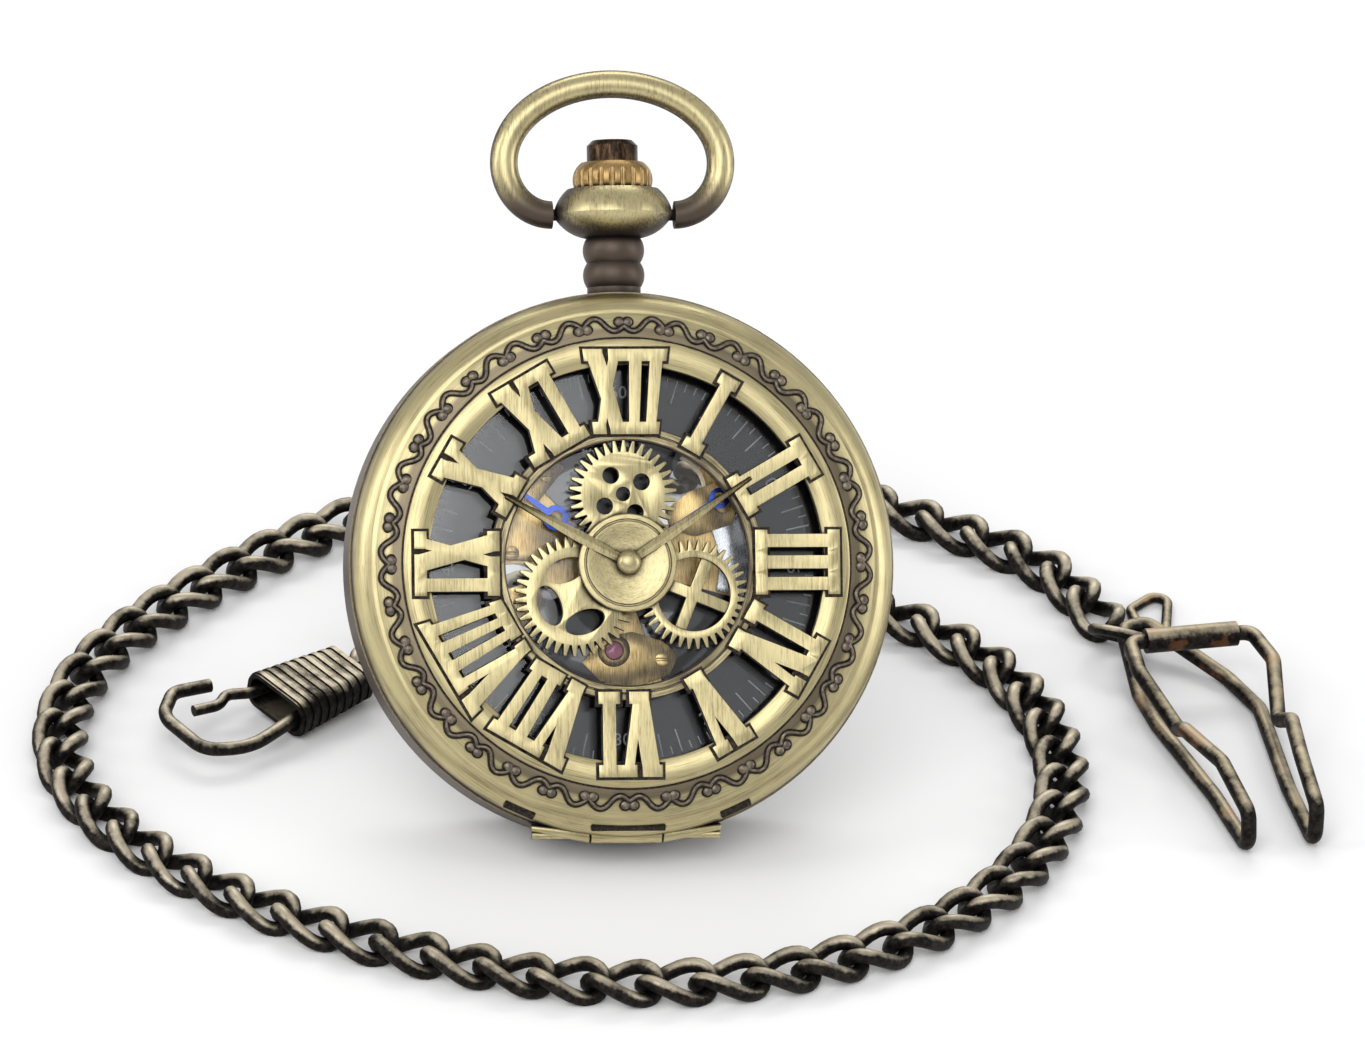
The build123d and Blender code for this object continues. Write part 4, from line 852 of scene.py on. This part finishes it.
# %% Hub
HUB_OUTLINE = [
    (0.0, 4.7), (4.15, 4.7), (4.2, 4.76), (4.2, 5.95), (4.12, 6.04), (3.78, 6.06), (3.72, 5.93), (3.58, 5.93),
    (3.52, 6.05), (3.3, 6.05), (2.6, 5.9), (1.5, 5.8), (0.95, 5.8), (0.98, 6.3), (1.06, 6.75), (0.92, 7.1),
    (0.6, 7.32), (0.3, 7.39), (0.0, 7.4),
]
cover_hub = spun("cover_hub", HUB_OUTLINE, steps=80)
settle(cover_hub, WATCH, "front_cover", turned_brass, smooth=40)


# %% Cast hands
def cast_hand(name, length, root, tip, degrees, shoulder):
    """A ridged blade that swells at its shoulder and narrows to its tip."""
    bpy.ops.object.select_all(action="DESELECT")
    bpy.ops.mesh.primitive_cube_add(
        size=1, location=((0.9 + length) / 2, 0, 5.98), scale=(length - 0.9, root, 0.7)
    )
    piece = bake_place(fresh(name))
    pick(piece, lambda centre, normal: True)
    bpy.ops.mesh.subdivide(number_cuts=7)
    done()
    for point in piece.data.vertices:
        share = (point.co.x - 0.9) / (length - 0.9)
        swell = (
            0.55 + 0.45 * min(1, share / shoulder)
            if share < shoulder
            else 1 - (share - shoulder) / (1 - shoulder)
        )
        half = tip / 2 + (root - tip) / 2 * max(swell, 0)
        across = point.co.y / (root / 2)
        point.co.y = across * half
        if point.co.z > 6:
            point.co.z = 6.42 - 0.28 * abs(across) - 0.3 * share
    modify(piece, "BEVEL", width=0.04, segments=1, limit_method="ANGLE", angle_limit=math.radians(50))
    piece.data.transform(turn_z(degrees))
    return piece


cast_hands = join([
    cast_hand("cast_minute", 12.9, 0.95, 0.3, 34, 0.25),
    cast_hand("cast_hour", 11.9, 1.05, 0.3, 180 - 28.7, 0.3),
], "cast_hands")
settle(cast_hands, WATCH, "front_cover", plate_brass, smooth=30)

# %% [markdown]
# ## Running scroll
# The ornament band carries one engraved wave. It dips under a pair of round studs at the outside, rises
# over the next pair at the inside, and starts again, eighteen times round. One repeat is drawn in flat
# steps of angle and radius, bent on to the sloping band, and copied. A wide dark bead under a thin bright
# one gives the groove.

# %% Scroll
SCROLLS = 18
HALF_TURN = 180 / SCROLLS


def on_band(degrees, radius, lift):
    """A point on the sloping band, counted clockwise from the top."""
    height = 5.6 - (radius - 19.2) * 0.4 + lift
    angle = math.radians(90 - degrees)
    return (radius * math.cos(angle), radius * math.sin(angle), height)


WAVE = [
    (0.0, 20.32), (0.9, 20.05), (2.0, 19.85), (3.2, 19.93),
    (4.3, 20.3), (5.2, 20.75), (6.2, 21.05), (7.4, 21.08),
    (8.6, 20.85), (9.5, 20.5), (10.0, 20.32),
]
STUDS = [(1.0, 20.62), (9.0, 20.15)]


def bead(name, points, thick, lift):
    """A round wire through points on the band."""
    data = bpy.data.curves.new(name, "CURVE")
    data.dimensions = "3D"
    data.bevel_depth = thick
    data.bevel_resolution = 2
    line = data.splines.new("NURBS")
    line.points.add(len(points) - 1)
    for point, (degrees, radius) in zip(line.points, points):
        point.co = (*on_band(degrees, radius, lift), 1)
    line.order_u = 3
    line.use_endpoint_u = True
    line.resolution_u = 3
    piece = bpy.data.objects.new(name, data)
    bpy.context.scene.collection.objects.link(piece)
    only(piece)
    bpy.ops.object.convert(target="MESH")
    return bpy.context.active_object


def stud(degrees, radius, size, lift):
    """A flat round stud."""
    bpy.ops.object.select_all(action="DESELECT")
    bpy.ops.mesh.primitive_uv_sphere_add(
        segments=16, ring_count=8, radius=size, location=on_band(degrees, radius, lift)
    )
    piece = fresh("stud")
    bake_place(piece)
    middle = on_band(degrees, radius, lift)[2]
    for point in piece.data.vertices:
        point.co.z = middle + (point.co.z - middle) * 0.42
    return piece


def repeat(thick, stud_size, lift):
    """One whole repeat: a half wave and its mirror image."""
    pieces = []
    for hand in (1, -1):
        pieces.append(bead("wave", [(hand * a, r) for a, r in WAVE], thick, lift))
        pieces += [stud(hand * a, r, stud_size, lift) for a, r in STUDS]
    return join(pieces, "repeat")


scroll_sets = []
for name, thick, stud_size, lift in (("scroll_groove", 0.30, 0.55, -0.14), ("scroll_line", 0.15, 0.40, 0.03)):
    pattern = repeat(thick, stud_size, lift)
    copies = [copy_of(pattern, f"{name}_{i}", turn_z(2 * HALF_TURN * i)) for i in range(SCROLLS)]
    bpy.data.objects.remove(pattern)
    scroll_sets.append(join(copies, name))
scroll_groove, scroll_line = scroll_sets
settle(scroll_groove, WATCH, "front_cover", groove, smooth=60)
settle(scroll_line, WATCH, "front_cover", scroll_metal, smooth=60)
step_line = spun("step_line", [(19.36, 5.3), (19.36, 5.44), (19.22, 5.5), (19.18, 5.3)], steps=120)
settle(step_line, WATCH, "front_cover", groove, smooth=60)
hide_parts("front_cover")
print("scroll", len(scroll_groove.data.polygons) + len(scroll_line.data.polygons), "faces")

# %% [markdown]
# ## Minute track and dial figures
# Sixty white strokes are printed on the black ring, with a small figure at every fifth minute. A stroke is
# a very thin bevelled bar; the figures are text turned to mesh, and both stand a few hundredths proud, like
# thick ink.

# %% White print
def dial_print():
    finish = Finish("dial_print", Metallic=0.0, Roughness=0.5)
    ink = finish.noise(finish.in_watch(), 5.0, 3.0)
    finish.feed(Base_Color=finish.blend(ink, (0.42, 0.43, 0.44, 1), (0.72, 0.73, 0.74, 1)))
    return finish.material


PRINT_FLOOR, PRINT_TOP = 0.88, 0.93
marks = []
long_mark = bar("mark", 0, 0, 0.11, 14.7, 16.7, PRINT_FLOOR, PRINT_TOP, 0.01)
short_mark = bar("mark", 0, 0, 0.09, 16.0, 16.7, PRINT_FLOOR, PRINT_TOP, 0.01)
for minute in range(120):
    source = long_mark if minute % 10 in (4, 6) else short_mark
    if minute % 10:
        marks.append(copy_of(source, "mark", turn_z(-3 * minute)))
bpy.data.objects.remove(long_mark)
bpy.data.objects.remove(short_mark)
for hour in range(1, 13):
    angle = math.radians(90 - 30 * hour)
    bpy.ops.object.select_all(action="DESELECT")
    bpy.ops.object.text_add(location=(0, 0, 0))
    figure = fresh(f"figure_{hour}")
    figure.data.body = str(hour * 5)
    figure.data.size = 1.5
    figure.data.extrude = 0.02
    figure.data.align_x = "CENTER"
    figure.data.align_y = "CENTER"
    figure.data.resolution_u = 3
    only(figure)
    bpy.ops.object.convert(target="MESH")
    figure = bpy.context.active_object
    figure.data.transform(turn_z(-30 * hour if hour < 4 or hour > 8 else 180 - 30 * hour))
    figure.data.transform(shift(14.9 * math.cos(angle), 14.9 * math.sin(angle), PRINT_FLOOR + 0.03))
    marks.append(figure)
minute_track = settle(join(marks, "minute_track"), WATCH, "case", dial_print())
print("minute track", len(minute_track.data.polygons), "faces")

# %% [markdown]
# ## The dial side of the movement
# Through the cover's middle one looks at the keyless work: a blackened plate, gilt cocks and a steel spring
# on it. Each is a flat part cut to an outline, so a circle's points are moved on to the outline, and the
# face is extruded and bevelled.

# %% Dial-side parts
def plate(name, outline, low, high, round_by=0.05):
    """A flat part with that outline."""
    bpy.ops.object.select_all(action="DESELECT")
    bpy.ops.mesh.primitive_circle_add(vertices=len(outline), radius=1, fill_type="NGON")
    piece = fresh(name)
    for point, (x, y) in zip(piece.data.vertices, outline):
        point.co = (x, y, low)
    pick(piece, lambda centre, normal: True)
    bpy.ops.mesh.extrude_region_move(TRANSFORM_OT_translate={"value": (0, 0, high - low)})
    bpy.ops.mesh.select_all(action="SELECT")
    bpy.ops.mesh.normals_make_consistent(inside=False)
    done()
    if round_by:
        modify(piece, "BEVEL", width=round_by, segments=2, limit_method="ANGLE")
    return piece


def sector(inner, outer, start, end, step=4):
    """The outline of part of a ring."""
    count = max(2, round(abs(end - start) / step))
    turns = [math.radians(start + (end - start) * i / count) for i in range(count + 1)]
    outside = [(outer * math.cos(turn), outer * math.sin(turn)) for turn in turns]
    return outside + [(inner * math.cos(turn), inner * math.sin(turn)) for turn in reversed(turns)]


BLACK_LEVELS = (0.13, 0.2)
PLATE_FOOT = 0.14
JEWEL_PLACE = (-0.6, -7.2)
SCREW_PLACES = ((3.6, -8.0), (9.0, 5.2), (-9.3, 1.2), (-6.2, 7.9), (-8.6, -3.2))

black_plates = join([
    plate("black_plate", sector(2.6, 11.3, 60, 135), *BLACK_LEVELS),
    plate("black_plate", sector(2.6, 11.3, 196, 262), *BLACK_LEVELS),
    plate("black_plate", sector(3.6, 11.3, 290, 345), *BLACK_LEVELS),
], "black_plates")
gilt_parts = [
    plate("cock", sector(5.2, 10.9, 142, 176), PLATE_FOOT, 0.42),
    plate("cock", [
        (-3.4, -8.2), (-1.6, -6.1), (1.0, -5.6), (3.6, -6.4),
        (5.0, -7.6), (4.2, -9.3), (1.0, -10.4), (-1.8, -9.8),
    ], PLATE_FOOT, 0.45),
    plate("cock", [
        (4.4, 3.2), (6.6, 2.6), (9.8, 3.6), (10.3, 5.4), (8.3, 7.2), (6.0, 6.4), (4.0, 4.8),
    ], PLATE_FOOT, 0.4),
    plate("arm", [
        (-9.9, 4.6), (-8.6, 6.8), (-5.6, 9.4), (-4.6, 8.5), (-7.0, 5.6), (-8.2, 3.8),
    ], PLATE_FOOT, 0.38),
    plate("arm", [(-10.3, -2.0), (-7.2, -1.2), (-6.4, -3.2), (-8.4, -5.6)], PLATE_FOOT, 0.36),
]
for x, y in SCREW_PLACES:
    screw = rod("screw", x, y, 0.62, 0.3, 0.62, sides=24)
    slot_outline = [(x - 0.9, y - 0.1), (x + 0.9, y - 0.1), (x + 0.9, y + 0.1), (x - 0.9, y + 0.1)]
    cut(screw, [plate("slot", slot_outline, 0.5, 0.8, 0)])
    modify(screw, "BEVEL", width=0.05, segments=2, limit_method="ANGLE")
    gilt_parts.append(screw)
SETTING = [(0.72, 0.4), (0.72, 0.6), (0.85, 0.68), (1.25, 0.62), (1.4, 0.5), (1.4, 0.4)]
setting = spun("setting", SETTING, steps=40)
setting.data.transform(shift(*JEWEL_PLACE))
gilt_cocks = join(gilt_parts + [setting], "gilt_cocks")
steel_spring = plate("steel_spring", sector(8.6, 11.2, -14, 24), PLATE_FOOT, 0.3)
cap_stone = spun("cap_stone", [(0.0, 0.45), (0.7, 0.45), (0.7, 0.56), (0.4, 0.64), (0.0, 0.66)], steps=32)
cap_stone.data.transform(shift(*JEWEL_PLACE))
print("dial-side parts", len(gilt_cocks.data.polygons), "faces")

# %% [markdown]
# ## Other finishes
# Inside the case: gilt plates with brushed lines, polished steel, rubies, blued hands and a lacquered black
# dial. The glasses are nearly clear. Each is a metal, a stone or a lacquer with its own fine unevenness.

# %% Gilt, steel and blue
def gilt_movement():
    finish = Finish("gilt_movement", Metallic=1.0)
    line = finish.noise(finish.in_watch((0.12, 2.2, 0.6)), 1.6, 4.0, 0.7)
    cloud = finish.noise(finish.in_watch(), 0.35, 3.0)
    # Painted shade: corners and gaps between parts are darkened to brown by ambient occlusion.
    corner_shade = finish.between(finish.occlusion_shade(1.6 * MM), 0.15, 0.85)
    gold = finish.blend(
        finish.between(line * 0.8 + cloud * 0.5, 0.45, 0.85), (0.30, 0.18, 0.055, 1), (0.84, 0.62, 0.28, 1)
    )
    finish.feed(
        Base_Color=finish.blend(corner_shade, gold, (0.10, 0.06, 0.03, 1)),
        Roughness=0.2 + line * 0.2,
        Normal=finish.bump(line, 0.01 * MM, 0.5),
    )
    return finish.material


def polished_steel():
    finish = Finish("polished_steel", Metallic=1.0)
    grain = finish.noise(finish.in_watch((0.5, 1.5, 0.5)), 4.0, 4.0, 0.7)
    finish.feed(
        Base_Color=finish.blend(grain, (0.30, 0.30, 0.31, 1), (0.66, 0.66, 0.68, 1)),
        Roughness=0.16 + grain * 0.2,
        Normal=finish.bump(grain, 0.006 * MM, 0.4),
    )
    return finish.material


def blued_steel():
    finish = Finish("blued_steel", Metallic=1.0)
    heat = finish.noise(finish.in_watch(), 0.5, 2.0)
    finish.feed(
        Base_Color=finish.blend(heat, (0.01, 0.03, 0.30, 1), (0.05, 0.16, 0.80, 1)),
        Roughness=0.18 + heat * 0.1,
    )
    return finish.material


def black_lacquer():
    finish = Finish("black_lacquer", Metallic=0.0, Coat_Weight=1.0, Coat_Roughness=0.04)
    dust = finish.noise(finish.in_watch(), 6.0, 4.0, 0.7)
    finish.feed(
        Base_Color=finish.blend(
            finish.between(dust, 0.55, 0.8), (0.004, 0.004, 0.005, 1), (0.020, 0.020, 0.022, 1)
        ),
        Roughness=0.10 + dust * 0.12,
    )
    return finish.material


def ruby():
    finish = Finish("ruby", Metallic=0.0, Coat_Weight=1.0, Coat_Roughness=0.03)
    depth = finish.noise(finish.in_watch(), 1.6, 3.0)
    finish.feed(
        Base_Color=finish.blend(depth, (0.42, 0.03, 0.12, 1), (0.85, 0.22, 0.38, 1)),
        Roughness=0.1 + depth * 0.1,
    )
    return finish.material


def crystal_glass():
    """Clear glass: nearly all light goes through, and what glances off is mirrored."""
    finish = Finish("crystal_glass", Metallic=1.0, Base_Color=(1, 1, 1, 1))
    smear = finish.noise(finish.in_watch(), 0.3, 4.0, 0.6)
    finish.feed(Roughness=0.02 + smear * 0.04)
    clear = finish.node("ShaderNodeBsdfTransparent", {}, {"Color": (0.96, 0.97, 0.98, 1)})
    glance = finish.node("ShaderNodeFresnel", {}, {"IOR": 1.45})
    mirror = Wire(finish, finish.shader.outputs[0])
    mixed = finish.node("ShaderNodeMixShader", {}, {0: glance, 1: clear, 2: mirror})
    finish.tree.links.new(mixed.socket, finish.tree.nodes["Material Output"].inputs["Surface"])
    return finish.material


def dark_button():
    finish = Finish("dark_button", Metallic=1.0)
    rub = finish.noise(finish.in_watch((0.5, 2.0, 0.5)), 1.8, 4.0, 0.7)
    finish.feed(
        Base_Color=finish.blend(
            finish.between(rub, 0.4, 0.75), (0.022, 0.014, 0.010, 1), (0.14, 0.085, 0.05, 1)
        ),
        Roughness=0.24 + rub * 0.2,
        Normal=finish.bump(rub, 0.01 * MM, 0.5),
    )
    return finish.material


def dark_pendant():
    """The pendant's beads were hardly touched by the brush."""
    return antique_brass("dark_pendant", "straight", edge=0.5, fade=(28.4, 29.4))


FINISHES = {
    "turned_brass": (turned_brass, ["case_band", "back_bezel", "crystal_bezel", "cover_catch", "hinge_pin"]),
    "pendant": (dark_pendant(), ["pendant"]),
    "loop": (loop_brass, ["bow"]),
    "crown": (crown_brass, ["crown"]),
    "button": (dark_button(), ["push_button"]),
    "gilt": (gilt_movement(), [
        "main_plate", "movement_ring", "train_bridge", "barrel_bridge", "balance_cock", "pallet_bridge",
        "centre_wheel", "third_wheel", "fourth_wheel", "escape_wheel", "barrel", "balance_wheel",
        "cannon_pinion",
        "hour_wheel", "minute_wheel",
    ]),
    "steel": (polished_steel(), [
        "bridge_screws", "winding_stem", "sliding_pinion", "winding_pinion", "button_spring", "setting_lever",
        "mainspring", "ratchet_wheel", "crown_wheel", "click", "pallet_fork", "balance_staff", "hairspring",
    ]),
    "blue": (blued_steel(), ["hour_hand", "minute_hand"]),
    "black": (black_lacquer(), ["dial"]),
    "ruby": (ruby(), ["jewels"]),
    "glass": (crystal_glass(), ["front_crystal", "rear_crystal"]),
    "chain": (chain_steel, ["chain", "clasp_ring", "clip_ring"]),
    "clasp": (clasp_steel, ["clasp_hook", "clasp_gate", "clasp_sleeve"]),
    "clip": (clip_steel, ["clip_frame", "clip_sleeve", "clip_jump_ring"]),
    "cover": (plate_brass, ["front_cover"]),
}
for finish, members in FINISHES.values():
    for name in members:
        mesh = nodes[name].data
        mesh.materials.clear()
        mesh.materials.append(finish)
for piece, key, slot in (
    (black_plates, "black", "dial"), (gilt_cocks, "gilt", "main_plate"), (steel_spring, "steel", "click"),
    (cap_stone, "ruby", "jewels"),
):
    settle(piece, WATCH, "case", FINISHES[key][0])
missing = sorted(set(nodes) - {name for finish, members in FINISHES.values() for name in members})
print("nodes left without a finish", missing)

# %% [markdown]
# ## Table and light
# A pale table and soft boxes: brass only looks like brass when it has something bright and something dark to
# mirror. One large box stands high at the left, a lower one at the right, and a strip lies behind.

# %% Table
bpy.ops.object.select_all(action="DESELECT")
bpy.ops.mesh.primitive_plane_add(size=6.0, location=(0, 0, 0))
floor = fresh("table")
tabletop = Finish("tabletop", Metallic=0.0)
tone = tabletop.noise(tabletop.place(), 3.0, 2.0)
tabletop.feed(
    Base_Color=tabletop.blend(tone, (0.93, 0.93, 0.93, 1), (0.95, 0.95, 0.95, 1)),
    Roughness=0.6 + tone * 0.05,
)
floor.data.materials.append(tabletop.material)


# %% Lights
def soft_box(name, place, size, power, aim=(0, 0, 0.02)):
    data = bpy.data.lights.new(name, "AREA")
    data.shape = "RECTANGLE"
    data.size, data.size_y = size
    data.energy = power
    lamp = bpy.data.objects.new(name, data)
    bpy.context.scene.collection.objects.link(lamp)
    lamp.location = place
    lamp.rotation_euler = (Vector(aim) - Vector(place)).to_track_quat("-Z", "Y").to_euler()


soft_box("key_box", (-0.30, -0.80, 0.95), (1.0, 0.8), 6.5)
soft_box("side_box", (0.95, -0.25, 0.35), (0.35, 0.7), 2.2)
soft_box("left_box", (-0.95, -0.1, 0.45), (0.3, 0.7), 2.4)
soft_box("back_strip", (0.1, 0.9, 0.85), (0.9, 0.25), 3.0)
world = bpy.data.worlds.new("studio")
world.use_nodes = True
world.node_tree.nodes["Background"].inputs["Color"].default_value = (1, 1, 1, 1)
world.node_tree.nodes["Background"].inputs["Strength"].default_value = 0.62
bpy.context.scene.world = world
bpy.context.scene.view_settings.view_transform = "Standard"
